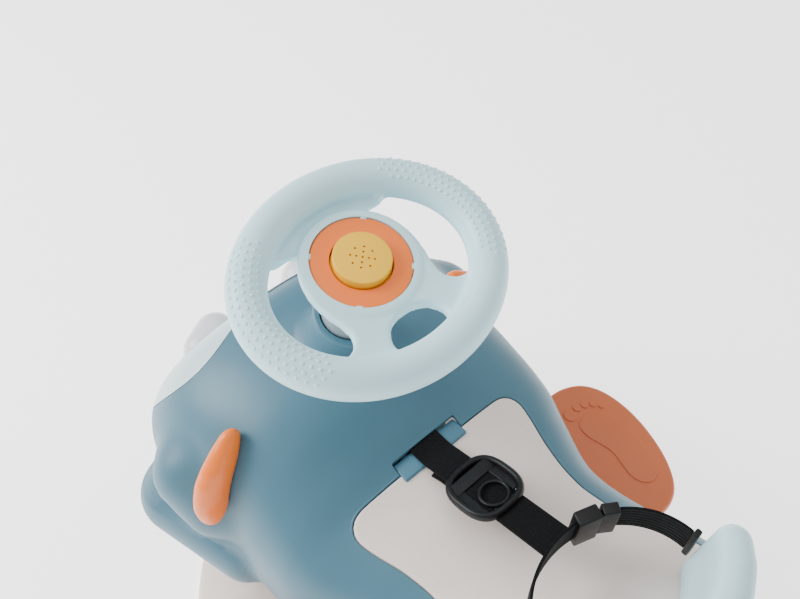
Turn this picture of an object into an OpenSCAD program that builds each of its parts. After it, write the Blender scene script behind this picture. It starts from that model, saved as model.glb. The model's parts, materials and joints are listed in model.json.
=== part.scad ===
// Single-seat toddler merry-go-round: a moulded ride body with a play steering
// wheel, turning on a ball race over a round floor base.
// +X is the child's right, +Y is forward, +Z is up, and the origin is on the
// floor at the axis that the seat turns about.

/* [Base] */
// Outer diameter of the round floor base
base_d = 400; // [340:5:440]
// Height of the base's flat top above the floor
base_top = 46; // [40:1:60]
// Wall of the base shell
base_wall = 4; // [3:0.5:6]
// Height of the rubber feet under the bottom plate
foot_h = 4; // [3:0.5:8]
// Number of rubber feet
foot_n = 6; // [4:1:8]

/* [Bearing] */
// Diameter of the steel spindle
spindle_d = 20; // [16:1:26]
// Diameter of the balls
ball_d = 10; // [6:1:12]
// Number of balls
ball_n = 14; // [8:1:18]
// Radius of the circle that the balls roll on
race_r = 61; // [56:1:80]

/* [Ride body] */
// Wall of the moulded body panels
shell_wall = 3.2; // [2.5:0.1:4]
// Height of the body's widest line above the floor
belly_z = 165; // [150:1:175]
// Height of the open underside of the body
body_bottom = 66; // [60:1:80]
// Visible gap between neighbouring body panels
panel_gap = 0.6; // [0.3:0.1:1.2]
// Length of each foot rest
pad_l = 156; // [130:1:175]
// Width of each foot rest
pad_w = 112; // [90:1:125]
// Height of the middle of each foot rest
pad_z = 92; // [84:1:104]

/* [Steering] */
// Width of the oval wheel across the grips
wheel_w = 180.6; // [170:0.2:210]
// Length of the oval wheel from front to back
wheel_l = 155.2; // [145:0.2:180]
// Thickness of the wheel's rim
rim_d = 25; // [22:1:30]
// Height of the middle of the rim above the floor
wheel_z = 387; // [375:1:400]
// Lean of the wheel towards the child, in degrees
wheel_tilt = 13; // [6:0.5:16]
// Outer diameter of the steering column tube
column_d = 40; // [34:1:42]
// Turn of the wheel to each side before its stop, in degrees
steer_turn = 45; // [20:5:60]
// Diameter of the sound button
button_d = 36.6; // [32:0.2:40]
// Travel of the sound button
button_travel = 2.5; // [1:0.1:3]

/* [Belt] */
// Width of the webbing
web_w = 25; // [20:1:30]
// Thickness of the webbing
web_t = 2; // [1.4:0.1:2.6]

/* [Hidden] */
$fn = 64;

fit = 0.05;          // radial clearance of a shaft that turns in its bush
slip = 0.3;          // clearance between pieces that only sit beside each other
aqua = [0.78, 0.88, 0.89];
blue = [0.42, 0.60, 0.70];
deep_blue = [0.30, 0.45, 0.55];
orange = [0.96, 0.61, 0.40];
terracotta = [0.75, 0.45, 0.32];
cream = [0.83, 0.80, 0.77];
white = [0.90, 0.89, 0.91];
yellow = [0.93, 0.76, 0.38];
black = [0.10, 0.10, 0.11];
steel = [0.70, 0.71, 0.73];
grey = [0.60, 0.66, 0.69];

function mix(a, b, t) = a + (b - a) * t;
function ease(t) = let (u = max(0, min(1, t))) u * u * (3 - 2 * u);
function signed_power(v, p) = sign(v) * pow(abs(v), p);

// Value at y of a smooth curve through the stations, which are [y, value] pairs.
function station_index(y, table, i = 0) =
  i >= len(table) - 2 || y < table[i + 1][0] ? i : station_index(y, table, i + 1);
function curve_slope(table, i) =
  let (a = max(0, i - 1), b = min(len(table) - 1, i + 1))
  (table[b][1] - table[a][1]) / (table[b][0] - table[a][0]);
function curve_at(y, table) =
  let (
    i = station_index(y, table),
    y0 = table[i][0], y1 = table[i + 1][0], h = y1 - y0,
    t = max(0, min(1, (y - y0) / h)),
    m0 = curve_slope(table, i) * h, m1 = curve_slope(table, i + 1) * h
  )
  (2 * t * t * t - 3 * t * t + 1) * table[i][1] + (t * t * t - 2 * t * t + t) * m0
  + (3 * t * t - 2 * t * t * t) * table[i + 1][1] + (t * t * t - t * t) * m1;

// Closed smooth loop of points through hand-placed corners.
function loop_points(p, steps) = [
  for (i = [0:len(p) - 1], s = [0:steps - 1])
    let (
      n = len(p), t = s / steps,
      a = p[(i + n - 1) % n], b = p[i], c = p[(i + 1) % n], d = p[(i + 2) % n]
    )
    0.5 * (2 * b + (c - a) * t + (2 * a - 5 * b + 4 * c - d) * t * t
           + (3 * b - a - 3 * c + d) * t * t * t)
];

// ---- Outer form of the ride body ----
// Each cross section is a superellipse between the belly line and the top line.
body_front = 239.5;
body_rear = -241;
front_round = 2.3;
front_round_from = 120;
rear_round = 2.4;
rear_round_from = -150;
half_widths = [[-240, 126], [-190, 121], [-140, 108], [-100, 99], [-75, 99], [-40, 113],
               [-10, 126], [30, 130], [75, 131], [110, 135], [140, 138], [240, 142]];
top_heights = [[-240, 262], [-190, 252], [-140, 242], [-100, 239], [-50, 241], [-8, 246],
               [20, 262], [50, 280], [80, 288], [137, 284], [169, 276], [192, 250], [214, 226], [240, 205]];
corner_powers = [[-240, 3], [-100, 3], [-10, 3.2], [50, 2.8], [110, 2.9], [150, 2.8], [240, 2.5]];
bottom_inset = 0.80;

function round_off(t, p) = pow(max(0, 1 - pow(t, p)), 1 / p);
function end_round(y) =
  y > front_round_from
    ? round_off((y - front_round_from) / (body_front - front_round_from), front_round)
    : y < rear_round_from
      ? round_off((rear_round_from - y) / (rear_round_from - body_rear), rear_round)
      : 1;
function half_width(y) = curve_at(y, half_widths) * end_round(y);
function top_height(y) = belly_z + (curve_at(y, top_heights) - belly_z) * end_round(y);

// Point of the section at y: angle 0 is the right belly line, 90 the top, 180 the left.
function section_point(y, a, inset) =
  let (
    p = 2 / curve_at(y, corner_powers),
    w = max(1, half_width(y) - inset),
    up = max(1, top_height(y) - inset - belly_z),
    down = belly_z - body_bottom
  )
  a >= 0 && a <= 180
    ? [w * signed_power(cos(a), p), y, belly_z + up * pow(abs(sin(a)), p)]
    : let (drop = (a < 0 ? -a : a - 180) / 90)
      [(a < 0 ? 1 : -1) * w * mix(1, bottom_inset, pow(drop, 1.8)), y, belly_z - down * drop];

section_angles = concat([-90, -45], [for (i = [0:20]) i * 9], [225, 270]);

// Stations along the body, closer together where the ends round off.
function body_stations(inset) =
  let (front = body_front - inset, rear = body_rear + inset)
  concat(
    [for (i = [0:5]) mix(rear, rear_round_from, 1 - cos(i * 15)) + 0.4],
    [for (i = [0:9]) mix(rear_round_from, front_round_from, i / 10)],
    [for (i = [0:7]) mix(front_round_from, front, sin(i * 90 / 7)) - (i == 7 ? 0.4 : 0)]
  );

module body_form(inset = 0, floor_drop = 0) {
  ys = body_stations(inset);
  n = len(section_angles);
  points = [
    for (y = ys, a = section_angles)
      let (q = section_point(y + (y > 0 ? inset : -inset) * abs(y) / body_front, a, inset))
      [q.x, y, q.z <= body_bottom + 0.01 ? q.z - floor_drop : q.z]
  ];
  sides = [
    for (i = [0:len(ys) - 2], j = [0:n - 2], k = [0, 1])
      k == 0 ? [i * n + j, i * n + j + 1, (i + 1) * n + j + 1]
             : [i * n + j, (i + 1) * n + j + 1, (i + 1) * n + j]
  ];
  under = [
    for (i = [0:len(ys) - 2], k = [0, 1])
      k == 0 ? [i * n, (i + 1) * n, (i + 1) * n + n - 1]
             : [i * n, (i + 1) * n + n - 1, i * n + n - 1]
  ];
  rear_cap = [[for (j = [n - 1:-1:0]) j]];
  front_cap = [[for (j = [0:n - 1]) (len(ys) - 1) * n + j]];
  polyhedron(points, concat(sides, under, rear_cap, front_cap), convexity = 6);
}

// Line where the blue body meets the front panel: on the flanks it slants forward as it drops.
seam_side_y = 142;
seam_reach = 27;
seam_half = 108;
seam_level = 268;
seam_slant = 0.65;
function seam_y(x) = seam_side_y + seam_reach * ease((seam_half - abs(x)) / seam_half);
module front_region(back_off) {
  outline = concat([for (x = [-190:10:190]) [x, seam_y(x) + back_off]], [[190, 460], [-190, 460]]);
  n = len(outline);
  points = [
    for (z = [30, 320], q = outline)
      [q.x, q.y + seam_slant * ease(abs(q.x) / seam_half) * (seam_level - z), z]
  ];
  walls = [for (i = [0:n - 1], k = [0, 1]) let (j = (i + 1) % n) k == 0 ? [i, n + i, n + j] : [i, n + j, j]];
  ends = [[for (i = [0:n - 1]) i], [for (i = [n - 1:-1:0]) n + i]];
  polyhedron(points, concat(ends, walls), convexity = 6);
}

// Plan outline of the saddle's opening in the body.
seat_front = -4.6;
seat_corner = [79, -16];
seat_waist = [65, -70];
seat_tail = [92, -170];
seat_end = -206;
function seat_outline() =
  let (half = [
    [0, seat_front], [40, seat_front], [68, seat_front], [76, seat_front - 3], seat_corner,
    [75, -32], [69, -50], seat_waist, [64, -90], [68, -112], [80, -140], seat_tail, [84, -196],
    [50, seat_end]
  ])
  concat(half, [for (i = [len(half) - 1:-1:1]) [-half[i].x, half[i].y]]);
module seat_region(grow) {
  translate([0, 0, belly_z])
    linear_extrude(200)
      offset(delta = grow)
        polygon(seat_outline());
}

// ---- Wheel and column frames ----
wheel_y = 54;
hub_offset = 8.8;
column_r = column_d / 2;
function column_s(z) = (z - wheel_z - hub_offset * sin(wheel_tilt)) / cos(wheel_tilt);
function column_y(z) = wheel_y + hub_offset * cos(wheel_tilt) - column_s(z) * sin(wheel_tilt);
module at_wheel() { translate([0, wheel_y, wheel_z]) rotate([wheel_tilt, 0, 0]) children(); }
module at_column() { at_wheel() translate([0, hub_offset, 0]) children(); }

// ---- Base ----
base_r = base_d / 2;
base_flat_r = 112;
skirt_h = 9;
plate_t = 3;
race_h = 7.5;
race_half = 11;
groove_depth = 2.4;
ball_slack = 0.2;
ball_z = base_top + race_h + ball_d / 2 - groove_depth;
upper_race_z = ball_z + ball_d / 2 - groove_depth;
chassis_z = upper_race_z + race_h;
chassis_t = 5;
foot_circle_r = base_r - 32;
plate_screw_r = base_r - 18;
spindle_r = spindle_d / 2;
flange_r = 30;
flange_t = 5;
boss_drop = 10;
spigot_h = 3;
spigot_r = race_r - race_half - slip;
nut_h = 8;
nut_r = spindle_r + 7;
bush_wall = 3;
bush_len = 14;
hub_tube_r = spindle_r + bush_wall + 11;
hub_z0 = base_top + spigot_h + nut_h + 3;
hub_z1 = hub_z0 + 40;
washer_t = 2.5;
spindle_top = hub_z1 + slip + washer_t + nut_h + 2;

function dome_arc(wall) = [
  for (a = [0:10:90])
    [mix(base_flat_r, base_r - wall, cos(a)), mix(foot_h + skirt_h, base_top - wall, sin(a))]
];
module around(n, r, start = 0) {
  for (i = [0:n - 1]) rotate(start + i * 360 / n) translate([r, 0, 0]) children();
}
module ring(r_in, r_out, z0, z1) {
  difference() {
    translate([0, 0, z0]) cylinder(r = r_out, h = z1 - z0);
    translate([0, 0, z0 - 1]) cylinder(r = r_in, h = z1 - z0 + 2);
  }
}

module base_shell() {
  bore = spindle_r + 0.1;
  inner = dome_arc(base_wall);
  profile = concat(
    [[bore, base_top - boss_drop], [bore, base_top + spigot_h], [spigot_r, base_top + spigot_h],
     [spigot_r, base_top]],
    [for (i = [len(dome_arc(0)) - 1:-1:0]) dome_arc(0)[i]],
    [[base_r, foot_h], [base_r - base_wall, foot_h]],
    inner,
    [[flange_r + 4, base_top - base_wall], [flange_r + 4, base_top - boss_drop]]
  );
  color(cream) difference() {
    union() {
      rotate_extrude() polygon(profile);
      around(foot_n, plate_screw_r, 30)
        translate([0, 0, foot_h + plate_t]) cylinder(r = 5, h = 21);
    }
    around(foot_n, plate_screw_r, 30)
      translate([0, 0, foot_h]) cylinder(r = 2, h = 16);
  }
}

module base_plate() {
  color(grey) difference() {
    ring(40, base_r - base_wall - slip, foot_h, foot_h + plate_t);
    around(foot_n, plate_screw_r, 30) cylinder(r = 2.2, h = 20);
    around(foot_n, foot_circle_r) cylinder(r = 4, h = 20);
  }
}

module base_ballast() {
  color(steel) ring(95, foot_circle_r - 8, foot_h + plate_t, foot_h + plate_t + 6);
}

module base_feet() {
  color(black) around(foot_n, foot_circle_r) {
    cylinder(r = 14, h = foot_h);
    cylinder(r = 3.9, h = foot_h + plate_t + 0.4);
    translate([0, 0, foot_h + plate_t]) cylinder(r = 5.5, h = 2.5);
  }
}

module base_screws() {
  color(steel) around(foot_n, plate_screw_r, 30) {
    translate([0, 0, foot_h - 2]) cylinder(r = 4, h = 2);
    translate([0, 0, foot_h - 1]) cylinder(r = 1.9, h = 15);
  }
}

module spindle() {
  z = base_top - boss_drop;
  color(steel) {
    translate([0, 0, z - flange_t]) cylinder(r = flange_r, h = flange_t);
    translate([0, 0, z - 1]) cylinder(r = spindle_r, h = spindle_top - z + 1);
  }
}

module hex_nut(z) {
  difference() {
    translate([0, 0, z]) cylinder(r = nut_r, h = nut_h, $fn = 6);
    translate([0, 0, z - 1]) cylinder(r = spindle_r + 0.02, h = nut_h + 2);
  }
}
module spindle_lock_nut() { color(steel) hex_nut(base_top + spigot_h); }
module spindle_top_nut() { color(steel) hex_nut(hub_z1 + slip + washer_t); }
module thrust_washer() {
  color(steel) ring(spindle_r + 0.1, hub_tube_r - 4, hub_z1 + slip, hub_z1 + slip + washer_t);
}

module ball_track() {
  rotate_extrude() translate([race_r, ball_z]) circle(r = ball_d / 2 + ball_slack);
}
module lower_race() {
  color(steel) difference() {
    ring(race_r - race_half, race_r + race_half, base_top, base_top + race_h);
    ball_track();
  }
}
module upper_race() {
  color(steel) difference() {
    ring(race_r - race_half, race_r + race_half, upper_race_z, chassis_z);
    ball_track();
  }
}
module ball_cage() {
  color(yellow) difference() {
    ring(race_r - race_half + 2, race_r + race_half - 2, ball_z - 1.2, ball_z + 1.2);
    around(ball_n, race_r) cylinder(r = ball_d / 2 + slip, h = ball_z * 2);
  }
}
module bearing_balls() {
  color(steel) around(ball_n, race_r) translate([0, 0, ball_z]) sphere(d = ball_d);
}

// ---- Chassis ----
socket_y = column_y(chassis_z + chassis_t);
column_end = column_s(chassis_z + chassis_t + 9);
socket_flange_r = 40;
chassis_edge = 2;     // the floor plate stops this far inside the body wall
socket_screw_r = socket_flange_r - 6;
post_stations = [-185, -95, 29];
screw_inset = 17;
function post_x(y) = half_width(y) * bottom_inset - screw_inset;
front_post = [38, 204];
screw_points = concat([for (y = post_stations, s = [-1, 1]) [s * post_x(y), y]],
                      [for (s = [-1, 1]) [s * front_post.x, front_post.y]]);
seat_post_r = 11;
post_drill = 17;
seat_posts = [-60, -150];
lug_x = 80;
lug_y = -20;
lug_gap = 44;
lug_z = 100;
function inner_outline(extra) =
  let (ys = body_stations(shell_wall + extra),
       right = [for (y = ys) [half_width(y + (y > 0 ? 1 : -1) * shell_wall * abs(y) / body_front)
                              * bottom_inset - shell_wall - extra, y]])
  concat(right, [for (i = [len(right) - 1:-1:0]) [-right[i].x, right[i].y]]);

module chassis() {
  color(grey) difference() {
    union() {
      translate([0, 0, chassis_z]) linear_extrude(chassis_t) polygon(inner_outline(chassis_edge));
      translate([0, 0, hub_z0]) cylinder(r = hub_tube_r, h = hub_z1 - hub_z0);
      for (y = seat_posts)
        translate([0, y, chassis_z])
          cylinder(r = seat_post_r, h = top_height(y) + seat_proud - shell_wall - slip - chassis_z - 1);
      for (s = [-1, 1], k = [-1, 1])
        translate([s * lug_x - 3, lug_y + k * lug_gap / 2 - 12, chassis_z])
          cube([6, 24, lug_z + 14 - chassis_z]);
    }
    translate([0, 0, hub_z0 - 1]) cylinder(r = spindle_r + bush_wall, h = hub_z1 - hub_z0 + 2);
    for (q = screw_points) translate([q.x, q.y, chassis_z - 1]) cylinder(r = 2.3, h = chassis_t + 2);
    for (y = seat_posts)
      translate([0, y, chassis_z - 1]) cylinder(r = seat_post_r - 3, h = top_height(y) - chassis_z - 12);
    for (s = [-1, 1], k = [-1, 1])
      translate([s * lug_x, lug_y + k * lug_gap / 2, lug_z]) rotate([0, 90, 0])
        cylinder(r = 4.1, h = 20, center = true);
    translate([0, socket_y, chassis_z - 1]) around(4, socket_screw_r, 45)
      cylinder(r = 2.1, h = chassis_t + 2);
  }
}

module hub_bush(z) {
  color(yellow) ring(spindle_r + fit, spindle_r + bush_wall - 0.02, z, z + bush_len);
}
module lower_hub_bush() { hub_bush(hub_z0); }
module upper_hub_bush() { hub_bush(hub_z1 - bush_len); }

module chassis_screws() {
  color(steel) for (q = screw_points)
    translate([q.x, q.y, 0]) {
      translate([0, 0, chassis_z - 2.5]) cylinder(r = 4.5, h = 2.5);
      translate([0, 0, chassis_z - 1]) cylinder(r = 2, h = chassis_t + post_drill - 1);
    }
}

// ---- Body panels ----
collar_r = column_r + 5.5;
collar_top = -65;
collar_bottom = -112;
collar_flare = 30;
upper_bush_top = collar_top - 12;
upper_bush_len = 15;
collar_lip_r = column_r + 1.3;
bush_seat_r = column_r + 4.2;
bar_l = 58;
bar_w = 15;
bar_t = 8;
bar_y = -3;
bar_top = 248;
bar_slot = web_w + 2.5;
strap_well = 26;

module shell_wall_form(outset = 0, thickness = shell_wall) {
  difference() {
    body_form(-outset);
    body_form(thickness - outset, 6);
  }
}
strap_way_front = 6;
strap_way_rear = 11;
module bar_opening(extra) {
  translate([-bar_l / 2 - extra, bar_y - bar_w / 2 - extra, bar_top - strap_well])
    cube([bar_l + 2 * extra, bar_w + 2 * extra, strap_well + 20]);
  translate([-web_w / 2 - 1, bar_y - bar_w / 2 - strap_way_rear, bar_top - strap_well])
    cube([web_w + 2, bar_w + strap_way_rear + strap_way_front, strap_well + 20]);
}
module fender(s, grow) {
  hull() {
    translate([s * 122, 112, 196]) sphere(r = 30 + grow, $fn = 18);
    translate([s * 120, 128, 150]) sphere(r = 34 + grow, $fn = 18);
    translate([s * 118, 70, 142]) sphere(r = 28 + grow, $fn = 18);
  }
}
module screw_post(q, foot_r, out_x, out_y, out_z) {
  hull() {
    translate([q.x, q.y, chassis_z + chassis_t + slip]) cylinder(r = foot_r, h = 22, $fn = 16);
    translate([out_x, out_y, out_z]) cylinder(r = foot_r - 2, h = 6, $fn = 16);
  }
}

module body_shell() {
  color(blue) difference() {
    union() {
      difference() {
        shell_wall_form();
        for (s = [-1, 1]) fender(s, -shell_wall);
        seat_region(panel_gap);
        front_region(0);
      }
      for (s = [-1, 1]) difference() {
        fender(s, 0);
        fender(s, -shell_wall);
        body_form(shell_wall);
      }
      difference() {
        at_column() translate([0, 0, collar_bottom])
          cylinder(r1 = collar_flare, r2 = collar_r, h = collar_top - collar_bottom, $fn = 48);
        body_form(shell_wall);
      }
      difference() {
        at_column() translate([0, 0, upper_bush_top - upper_bush_len - 4])
          cylinder(r = bush_seat_r + 3, h = upper_bush_len + 4, $fn = 48);
        translate([-80, -80, 288]) cube([160, 260, 60]);
      }
      intersection() {
        body_form(shell_wall / 2);
        for (y = post_stations, s = [-1, 1])
          screw_post([s * post_x(y), y], 6, s * (half_width(y) - 3), y, belly_z - 20);
      }
    }
    for (q = screw_points)
      translate([q.x, q.y, chassis_z]) cylinder(r = 2.1, h = chassis_t + post_drill, $fn = 16);
    at_column() {
      translate([0, 0, upper_bush_top - 100]) cylinder(r = bush_seat_r, h = 100, $fn = 48);
      translate([0, 0, upper_bush_top - 1]) cylinder(r = collar_lip_r, h = 40, $fn = 48);
    }
    bar_opening(slip);
    for (s = [-1, 1]) {
      for (k = [-1, 1])
        translate([s * lug_x, lug_y + k * lug_gap / 2, lug_z]) rotate([0, 90, 0])
          cylinder(r = 4.3, h = 120, center = true, $fn = 16);
      translate([s * fin_x, fin_y, fin_screw_z]) rotate([0, 90, 0])
        cylinder(r = 2.3, h = 60, center = true, $fn = 16);
    }
  }
}

lamp_x = 52;
lamp_y = 203;
lamp_z = 214;
module lamp_form(s, grow) {
  hull() {
    translate([s * (lamp_x + 8), lamp_y - 5, lamp_z - 1]) sphere(r = 16 + grow, $fn = 18);
    translate([s * (lamp_x - 8), lamp_y + 1, lamp_z + 1]) sphere(r = 17 + grow, $fn = 18);
  }
}
stripe_w = 46;
stripe_bottom = 100;
module stripe_region(grow) {
  translate([-stripe_w / 2 - grow, seam_side_y, stripe_bottom - grow]) cube([stripe_w + 2 * grow, 120, 260]);
}

panel_ribs = [30, 48, 66];
module front_panel() {
  color(aqua) difference() {
    union() {
      intersection() {
        body_form(shell_wall / 2);
        front_region(panel_gap);
        for (s = [-1, 1], x = panel_ribs) hull() {
          translate([s * x - 1.2, lamp_y, lamp_z - 14]) cube([2.4, 40, 3]);
          translate([s * x - 1.2, lamp_y + 12, lamp_z - 54]) cube([2.4, 30, 3]);
        }
      }
      intersection() {
        shell_wall_form();
        front_region(panel_gap);
      }
      intersection() {
        body_form(shell_wall / 2);
        for (s = [-1, 1])
          screw_post([s * front_post.x, front_post.y], 6, s * front_post.x, body_front - 4, belly_z - 40);
      }
    }
    for (s = [-1, 1]) {
      lamp_form(s, slip);
      translate([s * front_post.x, front_post.y, chassis_z])
        cylinder(r = 2.1, h = chassis_t + post_drill, $fn = 16);
    }
    stripe_region(panel_gap);
  }
}

nose_ribs = 8;
nose_rib_pitch = 9;
module nose_panel() {
  color(white) {
    intersection() {
      shell_wall_form(1.5, shell_wall + 1.5);
      front_region(panel_gap + 0.2);
      stripe_region(0);
    }
    intersection() {
      body_form(shell_wall / 2);
      for (i = [0:nose_ribs - 1])
        hull() {
          translate([-stripe_w / 2 + 5, body_front, stripe_bottom + 8 + i * nose_rib_pitch])
            cube([stripe_w - 10, 2, 2.4]);
          translate([-stripe_w / 2 + 9, body_front - 24, stripe_bottom + 8 + i * nose_rib_pitch])
            cube([stripe_w - 18, 2, 2.4]);
        }
    }
  }
}

module headlamp(s) {
  color(white) lamp_form(s, 0);
}
module headlamp_left() { headlamp(-1); }
module headlamp_right() { headlamp(1); }

// ---- Seat and backrest ----
seat_proud = 0.8;
rib_stations = [-32, -84, -104, -124, -172];
rib_half = 24;
rib_deep = 7;
back_r = 11;
back_bolt_x = 40;
back_bolt_y = -198;
back_bolt_r = 2.5;
back_thread = 31;
back_bottom = 250;
back_top = 322;

module seat() {
  color(cream) difference() {
    union() {
      intersection() {
        shell_wall_form(seat_proud, shell_wall);
        seat_region(0);
      }
      intersection() {
        body_form(shell_wall / 2);
        for (y = rib_stations) translate([-rib_half, y, top_height(y) - shell_wall - rib_deep])
          cube([2 * rib_half, 2.4, rib_deep + 4]);
      }
    }
    bar_opening(slip);
    for (s = [-1, 1]) translate([s * back_bolt_x, back_bolt_y, belly_z])
      cylinder(r = back_bolt_r + 0.9, h = 150, $fn = 16);
  }
}

function back_angle(i) = -52 + 13 * i;
module back_post(i) {
  x = 80 * sin(back_angle(i));
  y = -146 - 56 * cos(back_angle(i));
  translate([x, y, back_bottom]) sphere(r = back_r, $fn = 16);
  translate([x * 0.96, y - 5, back_top - 26 * (1 - cos(back_angle(i)))]) sphere(r = back_r, $fn = 16);
}
module backrest() {
  color(aqua) difference() {
    for (i = [0:7]) hull() { back_post(i); back_post(i + 1); }
    body_form(-seat_proud - slip);
    for (s = [-1, 1]) translate([s * back_bolt_x, back_bolt_y, back_bottom - 60])
      cylinder(r = back_bolt_r + 0.1, h = 60 + back_thread, $fn = 16);
  }
}
// Height of the seat's underside at a point.
function seat_under(x, y) =
  let (n = curve_at(y, corner_powers), w = half_width(y) - shell_wall)
  belly_z + (top_height(y) + seat_proud - shell_wall - belly_z) * pow(1 - pow(abs(x) / w, n), 1 / n);
back_head_r = 6;
module backrest_bolts() {
  color(steel) for (s = [-1, 1]) translate([s * back_bolt_x, back_bolt_y, 0]) {
    z = seat_under(back_bolt_x + back_head_r, back_bolt_y - back_head_r) - 4 - 1.6;
    translate([0, 0, z]) cylinder(r = back_head_r, h = 4);
    translate([0, 0, z + 3]) cylinder(r = back_bolt_r, h = back_bottom + back_thread - z - 4);
  }
}

// ---- Fins on the flanks ----
fin_x = 118;
fin_y = 78;
fin_screw_z = 226;
// Centre line of a fin and its thickness, from the tip down.
fin_path = [[104, 83, 272, 7.5], [111, 81, 264, 10], [119, 79, 254, 12], [125, 78, 244, 13],
            [128, 77, 234, 13.5], [130, 77, 224, 13.5], [130, 77, 214, 12.5], [129, 77, 205, 10.5],
            [127, 77, 198, 8]];
module fin(s) {
  color(orange) difference() {
    for (i = [0:len(fin_path) - 2]) hull()
      for (p = [fin_path[i], fin_path[i + 1]])
        translate([s * p[0], p[1], p[2]]) scale([1.15, 0.78, 1]) sphere(r = p[3], $fn = 16);
    body_form(-slip);
    fender(s, slip);
    translate([s * fin_x, fin_y, fin_screw_z]) rotate([0, 90, 0])
      cylinder(r = 1.9, h = 28, center = true, $fn = 16);
  }
}
module fin_left() { fin(-1); }
module fin_right() { fin(1); }
module fin_screws() {
  color(steel) for (s = [-1, 1]) translate([s * (fin_x + 2), fin_y, fin_screw_z]) rotate([0, s * 90, 0]) {
    cylinder(r = 1.8, h = 22, center = true);
    translate([0, 0, -10.5]) cylinder(r = 4, h = 2.5, center = true);
  }
}

// ---- Foot rests ----
pad_x = 176;
pad_y = -49;
pad_rim_r = 5.5;
pad_shape = [[0.18, 0.97], [0.66, 0.86], [0.92, 0.62], [1, 0.26], [0.92, -0.16], [0.68, -0.60],
             [0.34, -0.90], [-0.08, -1], [-0.52, -0.92], [-0.84, -0.58], [-0.95, -0.05], [-0.86, 0.52],
             [-0.42, 0.88]];
function pad_point(i) =
  let (p = pad_shape[i % len(pad_shape)])
  [p.x * (pad_w / 2 - pad_rim_r), p.y * (pad_l / 2 - pad_rim_r)];
module footrest(s) {
  color(terracotta) difference() {
    union() {
      translate([s * pad_x, pad_y, pad_z]) {
        for (i = [0:len(pad_shape) - 1]) hull()
          for (p = [pad_point(i), pad_point(i + 1)])
            translate([s * p.x, p.y, 0]) sphere(r = pad_rim_r, $fn = 10);
        translate([0, 0, -3]) linear_extrude(7)
          polygon([for (i = [0:len(pad_shape) - 1]) [s * pad_point(i).x, pad_point(i).y]]);
      }
      hull() {
        for (y = [lug_y - 34, lug_y + 34]) {
          translate([s * 108, y, lug_z]) sphere(r = 13, $fn = 16);
          translate([s * 140, y * 0.9, lug_z + 2]) sphere(r = 11, $fn = 16);
        }
      }
    }
    body_form(-slip);
    for (k = [-1, 1]) translate([s * lug_x, lug_y + k * lug_gap / 2, lug_z]) rotate([0, s * 90, 0])
      cylinder(r = 3.9, h = 54, $fn = 16);
  }
}
module footrest_left() { footrest(-1); }
module footrest_right() { footrest(1); }
module footrest_bolts() {
  color(steel) for (s = [-1, 1], k = [-1, 1])
    translate([s * (lug_x - 3.2), lug_y + k * lug_gap / 2, lug_z]) rotate([0, s * 90, 0]) {
      translate([0, 0, -4]) cylinder(r = 7, h = 4);
      translate([0, 0, -1]) cylinder(r = 3.8, h = 54);
    }
}

// ---- Steering ----
socket_r = column_r + bush_wall + 5;
stop_pin_r = 2.5;
stop_s = column_end + 27;
stop_reach = socket_r + 2;
stop_half = steer_turn + asin(stop_pin_r / socket_r) + 2;

module column_socket() {
  color(grey) difference() {
    union() {
      translate([0, socket_y, chassis_z + chassis_t]) cylinder(r = socket_flange_r, h = 5);
      at_column() translate([0, 0, column_end - 12]) cylinder(r = socket_r, h = 34);
      at_column() translate([0, 0, column_end + 22 - 0.01])
        rotate(-90 + stop_half) rotate_extrude(angle = 360 - 2 * stop_half)
          translate([column_r + 3, 0]) square([socket_r + 3 - column_r - 3, 10]);
    }
    at_column() {
      translate([0, 0, column_end - slip]) cylinder(r = column_r + bush_wall, h = 18.5);
      translate([0, 0, column_end - slip]) cylinder(r = column_r + 0.8, h = 40);
      translate([0, 0, column_end + 18]) cylinder(r = column_r + 1.5, h = 20);
    }
    translate([-60, socket_y - 60, chassis_z + chassis_t - 40]) cube([120, 120, 40]);
    translate([0, socket_y, 0]) around(4, socket_screw_r, 45) cylinder(r = 1.9, h = 200);
  }
}
module socket_screws() {
  color(steel) translate([0, socket_y, 0]) around(4, socket_screw_r, 45) {
    translate([0, 0, chassis_z - 2.2]) cylinder(r = 3.6, h = 2.2);
    translate([0, 0, chassis_z - 1]) cylinder(r = 1.8, h = chassis_t + 5);
  }
}
module column_lower_bush() {
  color(black) at_column()
    ring(column_r + fit, column_r + bush_wall - 0.02, column_end + 1, column_end + 17);
}
module column_upper_bush() {
  color(black) at_column()
    ring(column_r + fit, bush_seat_r - 0.2, upper_bush_top - upper_bush_len, upper_bush_top - 1.2);
}

hub_r = 38.7;
hub_top = 0.8;
hub_floor = -30;
hub_base = hub_floor - 4;
hub_neck = -42;
hub_waist_r = 35;
hub_neck_r = 26;
column_wall = 3;
column_head = 12;
column_nut_h = 6.5;
bolt_r = 4;

module steering_column() {
  color(grey) at_column() difference() {
    translate([0, 0, column_end]) cylinder(r = column_r, h = hub_base - slip / 3 - column_end);
    translate([0, 0, column_end - 1])
      cylinder(r = column_r - column_wall, h = hub_base - column_head - column_end + 1);
    translate([0, 0, hub_base - 20]) cylinder(r = bolt_r + 0.1, h = 30);
    translate([0, 0, stop_s]) rotate([90, 0, 0])
      cylinder(r = stop_pin_r + 0.02, h = column_d, center = true);
  }
}
module stop_pin() {
  color(steel) at_column() translate([0, 0, stop_s]) rotate([90, 0, 0])
    translate([0, 0, -column_r + 1]) cylinder(r = stop_pin_r, h = column_r - 1 + stop_reach);
}
module column_nut() {
  color(steel) at_column() difference() {
    translate([0, 0, hub_base - column_head - column_nut_h - 0.1])
      cylinder(r = 7.5, h = column_nut_h, $fn = 6);
    translate([0, 0, hub_base - 20]) cylinder(r = bolt_r + 0.02, h = 12);
  }
}
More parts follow.
